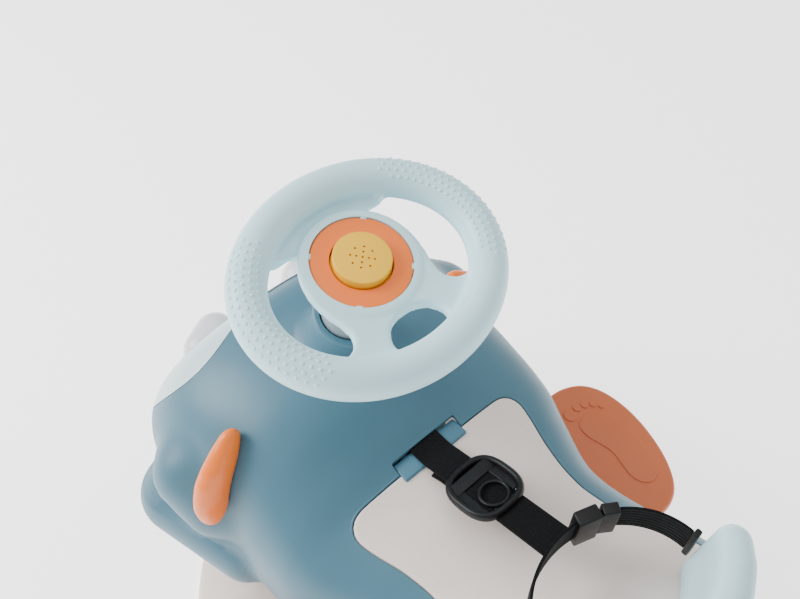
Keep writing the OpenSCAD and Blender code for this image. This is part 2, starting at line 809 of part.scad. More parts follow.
module column_bolt() {
  color(steel) at_column() {
    translate([0, 0, hub_floor + 0.1]) cylinder(r = 7, h = 4);
    translate([0, 0, hub_base - 21]) cylinder(r = bolt_r, h = 26);
  }
}

rim_a = (wheel_w - rim_d) / 2;
rim_b = (wheel_l - rim_d) / 2;
rim_steps = 48;
rim_sides = 18;
module rim() {
  n = rim_sides;
  m = rim_steps;
  points = [
    for (i = [0:m - 1], j = [0:n - 1])
      let (
        a = i * 360 / m, b = j * 360 / n, r = rim_d / 2 * cos(b),
        out = [rim_b * cos(a), rim_a * sin(a)] / norm([rim_b * cos(a), rim_a * sin(a)])
      )
      [rim_a * cos(a) + out.x * r, rim_b * sin(a) + out.y * r, rim_d / 2 * sin(b)]
  ];
  faces = [
    for (i = [0:m - 1], j = [0:n - 1], k = [0, 1])
      let (a = i * n, b = ((i + 1) % m) * n, c = (j + 1) % n)
      k == 0 ? [a + j, a + c, b + c] : [a + j, b + c, b + j]
  ];
  polyhedron(points, faces, convexity = 8);
}
rib_angles = [62, 80, 100, 118, 231, 242, 298, 309];
module wheel_ribs() {
  for (a = rib_angles) hull() {
    translate([(hub_r - 5) * cos(a), hub_offset + (hub_r - 5) * sin(a), spoke_bottom - 6])
      cylinder(r = 1.2, h = 8, $fn = 8);
    translate([rim_a * 0.94 * cos(a), rim_b * 0.94 * sin(a), spoke_bottom + 1])
      cylinder(r = 1.2, h = 4, $fn = 8);
  }
}
module oval_plate(grow, h) {
  linear_extrude(h) polygon([for (a = [0:9:351]) [(rim_a + grow) * cos(a), (rim_b + grow) * sin(a)]]);
}
window = [[29, 33.5], [29.5, 37], [33, 38.5], [40, 38], [47, 36.3], [54, 29.7], [60, 20.4], [63.7, 11],
          [65, 0], [63.7, -11], [60, -20.4], [55, -28], [50, -32.6], [46, -34.5], [41, -33], [37, -29],
          [35, -24], [35.6, -16], [38.2, -6], [39.2, 6], [38, 16], [34.5, 26]];
spoke_bottom = -10;
spoke_top = -0.5;
web_top = -4;
rear_slot_y = -43;
rear_slot_half = 20.5;
rear_slot_w = 22;
cavity_r = 32;
mid_cavity_r = 29.5;
low_cavity_r = 25.5;
mid_ledge = -18;
top_ledge = -10;

module steering_wheel() {
  color(aqua) difference() {
    union() {
      at_wheel() {
        rim();
        wheel_ribs();
        translate([0, 0, spoke_bottom]) oval_plate(0, spoke_top - spoke_bottom);
      }
      at_column() {
        translate([0, 0, mid_ledge]) cylinder(r1 = hub_waist_r, r2 = hub_r, h = hub_top - mid_ledge);
        translate([0, 0, hub_neck]) cylinder(r1 = hub_neck_r, r2 = hub_waist_r, h = mid_ledge - hub_neck);
      }
    }
    at_wheel() {
      for (s = [-1, 1]) translate([0, 0, -30]) linear_extrude(60)
        polygon([for (p = loop_points(window, 2)) [s * p.x, p.y]]);
      translate([0, rear_slot_y, -30]) {
        for (s = [-1, 1]) translate([s * (rear_slot_half - rear_slot_w / 2), 0, 0])
          cylinder(d = rear_slot_w, h = 60, $fn = 40);
        translate([-rear_slot_half + rear_slot_w / 2, -rear_slot_w / 2, 0])
          cube([2 * rear_slot_half - rear_slot_w, rear_slot_w, 60]);
      }
      difference() {
        translate([0, 0, web_top]) intersection() {
          oval_plate(-rim_d / 2 + 3, 10);
          translate([-37, 30, 0]) cube([74, 60, 20]);
        }
        translate([0, hub_offset, -20]) cylinder(r = hub_r, h = 50);
      }
    }
    at_column() {
      translate([0, 0, top_ledge]) cylinder(r = cavity_r, h = 40);
      translate([0, 0, mid_ledge]) cylinder(r = mid_cavity_r, h = 20);
      translate([0, 0, hub_floor]) cylinder(r = low_cavity_r, h = 20);
      translate([0, 0, hub_base - 20]) cylinder(r = column_r + 0.2, h = 20);
      translate([0, 0, hub_base - 5]) cylinder(r = bolt_r + 0.2, h = 20, $fn = 24);
    }
  }
}

disc_r = cavity_r - 0.4;
disc_top = 0;
disc_t = 2.5;
button_r = button_d / 2;
button_top = 5;
button_wall = 2.2;
flange_rim = 2;
button_flange_t = 1.8;
flange_z = disc_top - disc_t - 0.2 - button_flange_t;
board_z = -16;
board_t = 1.6;

module sound_disc() {
  color(orange) at_column() {
    ring(button_r + 0.5, disc_r, disc_top - disc_t, disc_top);
    ring(disc_r - 2.6, disc_r, top_ledge + 0.05, disc_top - disc_t + 0.1);
  }
}
hole_pitch = 3.75;
module sound_button() {
  color(yellow) at_column() difference() {
    union() {
      translate([0, 0, flange_z]) cylinder(r = button_r, h = button_top - flange_z);
      translate([0, 0, flange_z]) cylinder(r = button_r + flange_rim, h = button_flange_t);
    }
    translate([0, 0, flange_z - 1]) cylinder(r = button_r - 2, h = button_top - button_wall - flange_z + 1);
    translate([0, 0, flange_z]) {
      cylinder(r = 0.7, h = 20);
      around(4, hole_pitch, 43) cylinder(r = 0.7, h = 20);
      around(8, 2 * hole_pitch, 43) cylinder(r = 0.7, h = 20);
    }
  }
}
// The speaker's cone stands in the hollow button and leaves room for the travel.
speaker_top = button_top - button_wall - button_travel - 1.2;
speaker_cone_h = 7.5;
module speaker() {
  color(black) at_column() {
    translate([0, 0, board_z + board_t + 0.1])
      cylinder(r = 12, h = speaker_top - speaker_cone_h - board_z - board_t);
    translate([0, 0, speaker_top - speaker_cone_h]) cylinder(r = 14, h = speaker_cone_h);
  }
}
module circuit_board() {
  color([0.2, 0.45, 0.3]) at_column() translate([0, 0, board_z]) cylinder(r = mid_cavity_r - 3, h = board_t);
}
cell_r = 5.8;
cell_h = 5.4;
cell_n = 3;
cell_circle_r = 14;
cell_top = board_z - 0.6;
module battery_tray() {
  color(black) at_column() difference() {
    union() {
      translate([0, 0, hub_floor + 5]) cylinder(r = low_cavity_r - slip, h = board_z - 0.1 - hub_floor - 5);
      ring(low_cavity_r - 4, low_cavity_r - slip, hub_floor + 0.05, hub_floor + 6);
    }
    around(cell_n, cell_circle_r) translate([0, 0, cell_top - 0.1 - cell_h])
      cylinder(r = cell_r + 0.2, h = 20);
  }
}
module button_cells() {
  color(steel) at_column() around(cell_n, cell_circle_r)
    translate([0, 0, cell_top - cell_h]) cylinder(r = cell_r, h = cell_h);
}
spring_r = button_r - 1;
wire_r = 0.6;
spring_turns = 3;
spring_low = board_z + board_t + wire_r + 0.1;
spring_high = flange_z - wire_r - 0.1;
module button_spring() {
  sides = 6;
  steps = spring_turns * 14;
  points = [
    for (i = [0:steps], j = [0:sides - 1])
      let (a = i * 360 / 14, b = j * 360 / sides, r = spring_r + wire_r * cos(b))
      [r * cos(a), r * sin(a), mix(spring_low, spring_high, i / steps) + wire_r * sin(b)]
  ];
  walls = [
    for (i = [0:steps - 1], j = [0:sides - 1])
      let (k = (j + 1) % sides)
      [i * sides + k, (i + 1) * sides + k, (i + 1) * sides + j, i * sides + j]
  ];
  ends = [[for (j = [sides - 1:-1:0]) j], [for (j = [0:sides - 1]) steps * sides + j]];
  color(steel) at_column() polyhedron(points, concat(walls, ends), convexity = 10);
}

// ---- Belt ----
module belt_anchor_bar() {
  leg = (bar_l - bar_slot) / 2;
  z0 = bar_top - bar_t;
  color(deep_blue) translate([0, bar_y, 0]) {
    translate([-bar_l / 2, -bar_w / 2, z0]) cube([bar_l, bar_w, bar_t]);
    for (s = [-1, 1]) translate([s * (bar_l - leg) / 2 - leg / 2, -bar_w / 2, bar_top - strap_well + slip])
      cube([leg, bar_w, strap_well - bar_t]);
  }
}

// A band of the webbing's thickness along a route in the mid plane.
function band_normal(p, i) =
  let (a = p[max(0, i - 1)], b = p[min(len(p) - 1, i + 1)], d = b - a)
  [-d.y, d.x] / norm(d);
function band_outline(p, t) = concat(
  [for (i = [0:len(p) - 1]) p[i] + band_normal(p, i) * t / 2],
  [for (i = [len(p) - 1:-1:0]) p[i] - band_normal(p, i) * t / 2]
);
module band(route, t, w) {
  rotate([90, 0, 90]) translate([0, 0, -w / 2]) linear_extrude(w) polygon(band_outline(route, t));
}
strap_route = [[-52, 256.5], [-40, 253.6], [-30, 250.6], [-23, 247.8], [-17.5, 244], [-14, 240.6],
               [-10.5, 238.8], [-3, 238.6], [4.6, 238.5], [7.1, 241.5], [7.1, 247], [4.6, 249.8],
               [-3, 249.4], [-10, 250], [-16, 251.8], [-30, 256.4], [-45, 261], [-60, 265.2],
               [-80, 271.2], [-100, 277.2], [-112.6, 281]];
module crotch_strap() { color(black) band(strap_route, web_t, web_w); }

slider_l = 46;
slider_w = 44;
slider_t = 3;
slider_y = -54;
slider_z = 264.9;
slider_lean = 15.6;
module at_slider() { translate([0, slider_y, slider_z]) rotate([-slider_lean, 0, 0]) children(); }
module strap_slider() {
  color(black) at_slider() difference() {
    intersection() {
      translate([-slider_w / 2, -slider_l / 2, 0]) cube([slider_w, slider_l, slider_t]);
      translate([0, 0, -1]) cylinder(r = slider_l / 2 + 2.4, h = slider_t + 2);
    }
    translate([0, -10, -1]) cylinder(r = 8.5, h = slider_t + 2);
    translate([-web_w / 2, 6, -1]) cube([web_w, 8, slider_t + 2]);
  }
}

belt_z = 282;
belt_half = 60;
belt_front = -114;
belt_back = -165;
belt_w = 24;
function belt_curve(from, to) = [
  for (i = [0:10]) let (a = mix(from, to, i / 10))
    [belt_half * sin(a), belt_back + (belt_front - belt_back) * cos(a)]
];
module belt_piece(from, to) {
  translate([0, 0, belt_z - belt_w / 2]) linear_extrude(belt_w)
    polygon(band_outline(belt_curve(from, to), web_t));
}
module waist_belt() {
  color(black) {
    belt_piece(-90, 12);
    belt_piece(41.3, 90);
  }
}
module clip_block(a) {
  x = belt_half * sin(a);
  y = belt_back + (belt_front - belt_back) * cos(a);
  translate([x, y, belt_z]) rotate(-a) children();
}
module belt_clip_socket() {
  color(black) clip_block(19) difference() {
    translate([-7, -5, -belt_w / 2 - 3]) cube([16, 10, belt_w + 6]);
    translate([-1, -3, -belt_w / 2 + 2]) cube([20, 6, belt_w - 4]);
  }
}
module belt_clip_tongue() {
  color(black) clip_block(34) {
    translate([-4.5, -4, -belt_w / 2 - 2]) cube([11, 8, belt_w + 4]);
    translate([-10, -1.2, -belt_w / 2 + 3]) cube([7, 2.4, belt_w - 6]);
  }
}
module belt_anchor_plates() {
  color(black) for (s = [-1, 1])
    translate([s * belt_half - 3, belt_back - 4.3, belt_z - belt_w / 2 - 2]) cube([6, 4, belt_w + 4]);
}

base_shell();
base_plate();
base_ballast();
base_feet();
base_screws();
spindle();
spindle_lock_nut();
lower_race();
thrust_washer();
spindle_top_nut();
ball_cage();
bearing_balls();
upper_race();
chassis();
lower_hub_bush();
upper_hub_bush();
chassis_screws();
body_shell();
front_panel();
nose_panel();
headlamp_left();
headlamp_right();
seat();
backrest();
backrest_bolts();
fin_left();
fin_right();
fin_screws();
footrest_left();
footrest_right();
footrest_bolts();
column_socket();
socket_screws();
column_upper_bush();
column_lower_bush();
belt_anchor_bar();
crotch_strap();
strap_slider();
waist_belt();
belt_clip_socket();
belt_clip_tongue();
belt_anchor_plates();
steering_column();
stop_pin();
column_nut();
column_bolt();
steering_wheel();
sound_disc();
circuit_board();
speaker();
battery_tray();
button_cells();
sound_button();
button_spring();
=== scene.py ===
import json
import math
import bpy
import numpy as np
from mathutils import Matrix, Vector


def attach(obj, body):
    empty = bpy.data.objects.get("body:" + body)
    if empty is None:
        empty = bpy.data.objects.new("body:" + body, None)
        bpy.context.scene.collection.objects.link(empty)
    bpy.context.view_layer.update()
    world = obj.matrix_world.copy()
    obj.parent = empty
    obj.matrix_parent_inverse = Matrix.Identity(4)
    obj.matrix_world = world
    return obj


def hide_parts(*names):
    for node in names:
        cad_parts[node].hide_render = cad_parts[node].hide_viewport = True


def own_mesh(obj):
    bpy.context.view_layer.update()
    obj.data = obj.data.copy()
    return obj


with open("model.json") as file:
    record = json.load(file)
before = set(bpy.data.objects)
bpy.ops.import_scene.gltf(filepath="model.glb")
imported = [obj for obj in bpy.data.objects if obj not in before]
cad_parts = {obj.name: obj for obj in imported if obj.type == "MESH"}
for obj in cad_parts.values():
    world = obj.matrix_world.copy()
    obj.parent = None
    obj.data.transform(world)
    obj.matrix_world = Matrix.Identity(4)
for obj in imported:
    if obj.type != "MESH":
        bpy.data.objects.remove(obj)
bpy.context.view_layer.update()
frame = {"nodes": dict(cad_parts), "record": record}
print("frame loaded,", len(frame["nodes"]), "nodes")

# shapes are given in millimetres
mm = 0.001


def pickOnly(obj):
    bpy.ops.object.select_all(action="DESELECT")
    obj.select_set(True)
    bpy.context.view_layer.objects.active = obj


def applied(obj, kind, **settings):
    mod = obj.modifiers.new(kind.title(), kind)
    for key, value in settings.items():
        setattr(mod, key, value)
    pickOnly(obj)
    bpy.ops.object.modifier_apply(modifier=mod.name)
    return obj


def inEdit(obj, *steps):
    # runs edit mode operators on everything that is selected in the mesh
    pickOnly(obj)
    bpy.ops.object.mode_set(mode="EDIT")
    bpy.ops.mesh.select_all(action="SELECT")
    for step, settings in steps:
        step(**settings)
    bpy.ops.object.mode_set(mode="OBJECT")
    return obj


def readPoints(obj):
    co = np.zeros(len(obj.data.vertices) * 3)
    obj.data.vertices.foreach_get("co", co)
    return co.reshape(-1, 3)


def writePoints(obj, co):
    obj.data.vertices.foreach_set("co", np.asarray(co, float).ravel())
    obj.data.update()


def tidyNormals(obj, gap=0.01):
    return inEdit(obj, (bpy.ops.mesh.remove_doubles, {"threshold": gap * mm}),
                  (bpy.ops.mesh.normals_make_consistent, {"inside": False}))


def skin(name, rows, cols, shape, gap=0.01):
    # a grid whose points are laid by shape(u, v), in millimetres; meeting edges are welded
    bpy.ops.object.select_all(action="DESELECT")
    bpy.ops.mesh.primitive_grid_add(x_subdivisions=cols, y_subdivisions=rows, size=2)
    obj = bpy.context.object
    obj.name = name
    co = readPoints(obj)
    writePoints(obj, shape((co[:, 0] + 1) / 2, (co[:, 1] + 1) / 2) * mm)
    return tidyNormals(obj, gap)


def prism(name, outline, low, high):
    # an outline in plan, drawn as a filled circle whose points are moved, then extruded
    bpy.ops.object.select_all(action="DESELECT")
    bpy.ops.mesh.primitive_circle_add(vertices=len(outline), radius=1, fill_type="NGON")
    obj = bpy.context.object
    obj.name = name
    writePoints(obj, [(p[0] * mm, p[1] * mm, low * mm) for p in outline])
    rise = {"value": (0, 0, (high - low) * mm)}
    inEdit(obj, (bpy.ops.mesh.extrude_region_move, {"TRANSFORM_OT_translate": rise}))
    return tidyNormals(obj, 0.001)


def box(name, low, high, soft=0, segments=3):
    bpy.ops.object.select_all(action="DESELECT")
    bpy.ops.mesh.primitive_cube_add(size=1)
    obj = bpy.context.object
    obj.name = name
    low, high = np.array(low, float), np.array(high, float)
    writePoints(obj, ((low + high) / 2 + readPoints(obj) * (high - low)) * mm)
    if soft:
        inEdit(obj, (bpy.ops.mesh.bevel, {"offset": soft * mm, "segments": segments, "profile": 0.5}))
    return obj


def turned(name, profile, steps=96, matrix=None):
    # a profile of (radius, height) pairs, spun about the upright axis
    profile = np.array(profile, float)
    n = len(profile) - 1

    def shape(u, v):
        k = np.rint(v * n).astype(int)
        a = u * 2 * math.pi
        return np.c_[profile[k, 0] * np.cos(a), profile[k, 0] * np.sin(a), profile[k, 1]]
    obj = skin(name, n, steps, shape)
    if matrix is not None:
        obj.data.transform(matrix)
    return obj


def rounded(points, radius, steps=5):
    # rounds every corner of an open profile that isn't at its ends
    out = [points[0]]
    for i in range(1, len(points) - 1):
        a, b, c = (np.array(points[i + k], float) for k in (-1, 0, 1))
        r = min(radius, np.linalg.norm(a - b) * 0.48, np.linalg.norm(c - b) * 0.48)
        start, end = b + (a - b) / np.linalg.norm(a - b) * r, b + (c - b) / np.linalg.norm(c - b) * r
        for k in range(steps + 1):
            t = k / steps
            out.append(tuple((1 - t) ** 2 * start + 2 * t * (1 - t) * b + t * t * end))
    return out + [points[-1]]


def cut(obj, cutter, how="DIFFERENCE"):
    applied(obj, "BOOLEAN", operation=how, object=cutter, solver="MANIFOLD")
    bpy.data.objects.remove(cutter)
    return obj


def copyOf(obj, name):
    new = obj.copy()
    new.data = obj.data.copy()
    new.name = name
    bpy.context.scene.collection.objects.link(new)
    return new


def joined(name, objs):
    bpy.ops.object.select_all(action="DESELECT")
    for o in objs:
        o.select_set(True)
    bpy.context.view_layer.objects.active = objs[0]
    if len(objs) > 1:
        bpy.ops.object.join()
    objs[0].name = name
    return objs[0]


def smoothShade(obj, angle=35):
    pickOnly(obj)
    bpy.ops.object.shade_smooth_by_angle(angle=math.radians(angle))
    return obj


def softEdges(obj, width, segments, angle=40):
    return applied(obj, "BEVEL", width=width * mm, segments=segments, limit_method="ANGLE",
                   angle_limit=math.radians(angle))


def finished(obj, body, slotName, nodes, angle=35, material=None):
    # nodes are the frame's pieces that this one stands for
    smoothShade(obj, angle)
    obj.data.materials.clear()
    obj.data.materials.append(material or finishes[slotName])
    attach(obj, body)
    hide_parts(*nodes)
    return obj


def between(a, b, c, d, t):
    # the smooth curve from b to c, with a before them and d after
    curved = (2 * a - 5 * b + 4 * c - d) * t ** 2
    return 0.5 * (2 * b + (c - a) * t + curved + (3 * b - a - 3 * c + d) * t ** 3)


def loopThrough(points, steps):
    # a closed smooth loop through the points
    p = np.array(points, float)
    n = len(p)
    out = []
    for i in range(n):
        a, b, c, d = p[i - 1], p[i], p[(i + 1) % n], p[(i + 2) % n]
        out += [between(a, b, c, d, k / steps) for k in range(steps)]
    return np.array(out)


def pathThrough(points, steps):
    # an open smooth path through the points
    p = np.array(points, float)
    p = np.vstack([2 * p[0] - p[1], p, 2 * p[-1] - p[-2]])
    out = []
    for i in range(1, len(p) - 2):
        a, b, c, d = p[i - 1:i + 3]
        out += [between(a, b, c, d, k / steps) for k in range(steps)]
    out.append(p[-2])
    return np.array(out)


def roundLine(radiusX, radiusY, count, centre=(0, 0)):
    # points round an oval in plan
    return [(centre[0] + radiusX * math.cos(t), centre[1] + radiusY * math.sin(t))
            for t in np.linspace(0, 2 * math.pi, count, False)]


def bowed(value, power):
    # a power of the size of a value that keeps its sign
    return np.sign(value) * abs(value) ** power


def eased(t):
    t = np.clip(t, 0, 1)
    return t * t * (3 - 2 * t)


cameraView = {"place": (-0.209, -0.204, 0.772), "right": (0.743, -0.669, 0),
              "back": (-0.421, -0.468, 0.777), "lens": 38.25, "shiftY": -0.0031}


def makeCamera():
    data = bpy.data.cameras.new("camera")
    cam = bpy.data.objects.new("camera", data)
    bpy.context.scene.collection.objects.link(cam)
    data.sensor_width, data.lens, data.shift_y = 36, cameraView["lens"], cameraView["shiftY"]
    data.clip_start, data.clip_end = 0.01, 20
    back = Vector(cameraView["back"]).normalized()
    right = Vector(cameraView["right"]).normalized()
    turn = Matrix((right, back.cross(right), back)).transposed().to_4x4()
    cam.matrix_world = Matrix.Translation(cameraView["place"]) @ turn
    bpy.context.scene.camera = cam


studio = {"world": 0.72, "floor": (0.94, 0.94, 0.935), "floorSize": 12, "floorLevel": -0.0002,
          "floorRough": 0.85, "floorGlow": 1.7, "key": 46, "fill": 2, "top": 9, "aim": (0, 0.02, 0.25)}


def makeStudio():
    world = bpy.data.worlds.new("softRoom")
    bpy.context.scene.world = world
    world.use_nodes = True
    ground = world.node_tree.nodes["Background"]
    ground.inputs["Color"].default_value = (1, 1, 1, 1)
    ground.inputs["Strength"].default_value = studio["world"]
    for name, place, power, size in (("keyLight", (-1.0, 1.25, 1.35), "key", 1.0),
                                     ("fillLight", (1.4, -0.6, 1.1), "fill", 1.4),
                                     ("topLight", (0.1, 0.2, 2.0), "top", 1.6)):
        lamp = bpy.data.lights.new(name, "AREA")
        lamp.energy, lamp.size = studio[power], size
        obj = bpy.data.objects.new(name, lamp)
        bpy.context.scene.collection.objects.link(obj)
        obj.location = place
        obj.rotation_euler = (Vector(studio["aim"]) - Vector(place)).to_track_quat("-Z", "Y").to_euler()
    bpy.ops.object.select_all(action="DESELECT")
    bpy.ops.mesh.primitive_plane_add(size=studio["floorSize"], location=(0, 0, studio["floorLevel"]))
    floor = bpy.context.object
    floor.name = "floor"
    mat = bpy.data.materials.new("paleFloor")
    mat.use_nodes = True
    shader = mat.node_tree.nodes["Principled BSDF"]
    shader.inputs["Base Color"].default_value = (*studio["floor"], 1)
    shader.inputs["Roughness"].default_value = studio["floorRough"]
    shader.inputs["Emission Color"].default_value = (1, 1, 1, 1)
    shader.inputs["Emission Strength"].default_value = studio["floorGlow"]
    floor.data.materials.append(mat)


makeCamera()
makeStudio()
print("camera, light and floor are in place")


def linear(rgb):
    return tuple(((c / 255 + 0.055) / 1.055) ** 2.4 if c > 10 else c / 255 / 12.92 for c in rgb)


texture = {"driftScale": 9, "rubScale": 60, "smoother": 0.05, "rougher": 0.06, "coatRough": 0.25, "lift": 4,
           "deep": 0.0001}


def plastic(name, colour, rough=0.42, grain=0.05, grainSize=0.45, mottle=0.05, coat=0.0, sheen=0.0,
            shine=0.5):
    # moulded plastic: fine spark texture, slow drift of shade, and a little rubbing of the gloss
    mat = bpy.data.materials.new(name)
    mat.use_nodes = True
    tree = mat.node_tree
    shader = tree.nodes["Principled BSDF"]
    shader.inputs["Coat Weight"].default_value = coat
    shader.inputs["Coat Roughness"].default_value = texture["coatRough"]
    shader.inputs["Sheen Weight"].default_value = sheen
    shader.inputs["Specular IOR Level"].default_value = shine
    where = tree.nodes.new("ShaderNodeTexCoord")

    def noise(scale, detail):
        node = tree.nodes.new("ShaderNodeTexNoise")
        node.inputs["Scale"].default_value = scale
        node.inputs["Detail"].default_value = detail
        tree.links.new(where.outputs["Object"], node.inputs["Vector"])
        return node
    drift = noise(texture["driftScale"], 3)
    mix = tree.nodes.new("ShaderNodeValToRGB")
    base = linear(colour)
    mix.color_ramp.elements[0].position, mix.color_ramp.elements[1].position = 0.3, 0.7
    mix.color_ramp.elements[0].color = (*[c * (1 - mottle) for c in base], 1)
    mix.color_ramp.elements[1].color = (*[min(1, c * (1 + mottle)) for c in base], 1)
    tree.links.new(drift.outputs["Fac"], mix.inputs["Fac"])
    tree.links.new(mix.outputs["Color"], shader.inputs["Base Color"])
    rub = noise(texture["rubScale"], 4)
    spread = tree.nodes.new("ShaderNodeMapRange")
    spread.inputs["To Min"].default_value = rough - texture["smoother"]
    spread.inputs["To Max"].default_value = rough + texture["rougher"]
    tree.links.new(rub.outputs["Fac"], spread.inputs["Value"])
    tree.links.new(spread.outputs["Result"], shader.inputs["Roughness"])
    spark = noise(1000 / grainSize, 2)
    bump = tree.nodes.new("ShaderNodeBump")
    bump.inputs["Strength"].default_value = grain * texture["lift"]
    bump.inputs["Distance"].default_value = texture["deep"]
    tree.links.new(spark.outputs["Fac"], bump.inputs["Height"])
    tree.links.new(bump.outputs["Normal"], shader.inputs["Normal"])
    return mat


weave = {"ribPitch": 1.6, "crossPitch": 0.9, "crossShare": 0.35, "strength": 0.8, "deep": 0.0005}


def bandScale(pitch):
    # a wave's scale that gives bands of this pitch in millimetres
    return 1000 / pitch / 20 * math.pi


def webbing(name, colour, axis):
    # woven belt: ribs along the belt and a fine cross weave
    mat = plastic(name, colour, rough=0.82, grainSize=0.5, mottle=0.12, sheen=0.04, shine=0.15)
    tree = mat.node_tree
    where = next(n for n in tree.nodes if n.type == "TEX_COORD")
    bump = next(n for n in tree.nodes if n.type == "BUMP")
    rib = tree.nodes.new("ShaderNodeTexWave")
    rib.bands_direction = axis
    rib.inputs["Scale"].default_value = bandScale(weave["ribPitch"])
    cross = tree.nodes.new("ShaderNodeTexWave")
    cross.bands_direction = "Y" if axis == "X" else "X"
    cross.inputs["Scale"].default_value = bandScale(weave["crossPitch"])
    add = tree.nodes.new("ShaderNodeMath")
    add.operation = "MULTIPLY_ADD"
    add.inputs[1].default_value = weave["crossShare"]
    for wave in (rib, cross):
        tree.links.new(where.outputs["Object"], wave.inputs["Vector"])
    tree.links.new(cross.outputs["Fac"], add.inputs[0])
    tree.links.new(rib.outputs["Fac"], add.inputs[2])
    bump.inputs["Strength"].default_value = weave["strength"]
    bump.inputs["Distance"].default_value = weave["deep"]
    tree.links.new(add.outputs["Value"], bump.inputs["Height"])
    return mat


def metal(name, colour, rough=0.3):
    mat = plastic(name, colour, rough, 0.03, 0.8, 0.04)
    mat.node_tree.nodes["Principled BSDF"].inputs["Metallic"].default_value = 1
    return mat


finishes = {
    "aqua_plastic": plastic("aquaWheelPlastic", (200, 238, 246), 0.40, 0.05),
    "pale_aqua_plastic": plastic("paleAquaPanel", (206, 230, 234), 0.42, 0.05),
    "blue_plastic": plastic("dustyBluePanel", (68, 112, 130), 0.44, 0.06),
    "deep_blue_plastic": plastic("beltBarPlastic", (70, 116, 136), 0.42, 0.05),
    "orange_plastic": plastic("apricotPlastic", (255, 122, 30), 0.38, 0.04),
    "yellow_plastic": plastic("buttonYellow", (255, 194, 22), 0.38, 0.04),
    "terracotta_plastic": plastic("footPadTerracotta", (216, 112, 66), 0.46, 0.07),
    "white_plastic": plastic("lampWhite", (226, 224, 230), 0.32, 0.03, coat=0.2),
    "cream_plastic": plastic("saddleCream", (238, 222, 213), 0.46, 0.07),
    "grey_plastic": plastic("columnGrey", (128, 143, 150), 0.45, 0.05),
    "black_plastic": plastic("buckleBlack", (13, 13, 15), 0.4, 0.05, shine=0.3),
    "black_webbing": webbing("strapWeave", (11, 11, 13), "X"),
    "foot_rubber": plastic("footRubber", (34, 34, 36), 0.8, 0.1, 0.8),
    "steel": metal("zincPlate", (176, 178, 182), 0.32),
    "board": plastic("boardGreen", (34, 92, 62), 0.35, 0.03),
}
slotOf = {s["node"]: s["material_slot"] for s in frame["record"]["subparts"]}
for nodeName, node in frame["nodes"].items():
    node.data.materials.clear()
    node.data.materials.append(finishes[slotOf[nodeName]])
print("materials made")


form = {
    "front": 239.5, "rear": -241, "belly": 165, "bottom": 66, "wall": 3.2, "bottomInset": 0.80,
    "halfWidths": [(-240, 126), (-190, 121), (-140, 108), (-100, 99), (-75, 99), (-40, 113), (-10, 126),
                   (30, 130), (75, 131), (110, 135), (140, 138), (240, 142)],
    "topHeights": [(-240, 262), (-190, 252), (-140, 242), (-100, 239), (-50, 241), (-8, 246), (20, 262),
                   (50, 280), (80, 288), (137, 284), (169, 276), (192, 250), (214, 226), (240, 205)],
    "corners": [(-240, 3), (-100, 3), (-10, 3.2), (50, 2.8), (110, 2.9), (150, 2.8), (240, 2.5)],
    "shoulder": [((124, 116, 206), 30), ((120, 92, 196), 30)],
    "arch": [((131, 140, 146), 34), ((118, 70, 142), 28)],
    "shoulderSoft": 14, "archSoft": 5, "fenderFrom": 15, "fenderTo": 200, "fenderX": 50, "fenderReach": 80.0,
    "frontFrom": 120, "frontPower": 2.3, "rearFrom": -150, "rearPower": 2.4, "spread": (0.55, 0.45),
    "tuck": 1.8,
}


def stationCurve(y, table):
    # the same smooth curve through stations as the frame's
    xs = np.array([t[0] for t in table], float)
    vs = np.array([t[1] for t in table], float)
    slopes = np.empty(len(xs))
    for i in range(len(xs)):
        a, b = max(0, i - 1), min(len(xs) - 1, i + 1)
        slopes[i] = (vs[b] - vs[a]) / (xs[b] - xs[a])
    i = np.clip(np.searchsorted(xs, y, side="right") - 1, 0, len(xs) - 2)
    h = xs[i + 1] - xs[i]
    t = np.clip((y - xs[i]) / h, 0, 1)
    return ((2 * t ** 3 - 3 * t ** 2 + 1) * vs[i] + (t ** 3 - 2 * t ** 2 + t) * slopes[i] * h
            + (3 * t ** 2 - 2 * t ** 3) * vs[i + 1] + (t ** 3 - t ** 2) * slopes[i + 1] * h)


def endRound(y, inset=0):
    f = form
    front = np.clip((y - f["frontFrom"]) / (f["front"] - inset - f["frontFrom"]), 0, 1)
    rear = np.clip((f["rearFrom"] - y) / (f["rearFrom"] - f["rear"] - inset), 0, 1)
    rearPart = np.where(y < f["rearFrom"], (1 - rear ** f["rearPower"]) ** (1 / f["rearPower"]), 1.0)
    return np.where(y > f["frontFrom"], (1 - front ** f["frontPower"]) ** (1 / f["frontPower"]), rearPart)


def halfWidth(y, inset=0):
    return np.maximum(0, stationCurve(y, form["halfWidths"]) - inset) * endRound(y, inset)


def topRise(y, inset=0):
    return (stationCurve(y, form["topHeights"]) - form["belly"] - inset) * endRound(y, inset)


def topAt(x, y, inset=0):
    n = stationCurve(y, form["corners"])
    w = np.maximum(halfWidth(y, inset), 1e-3)
    return form["belly"] + topRise(y, inset) * np.maximum(0, 1 - np.minimum(1, np.abs(x) / w) ** n) ** (1 / n)


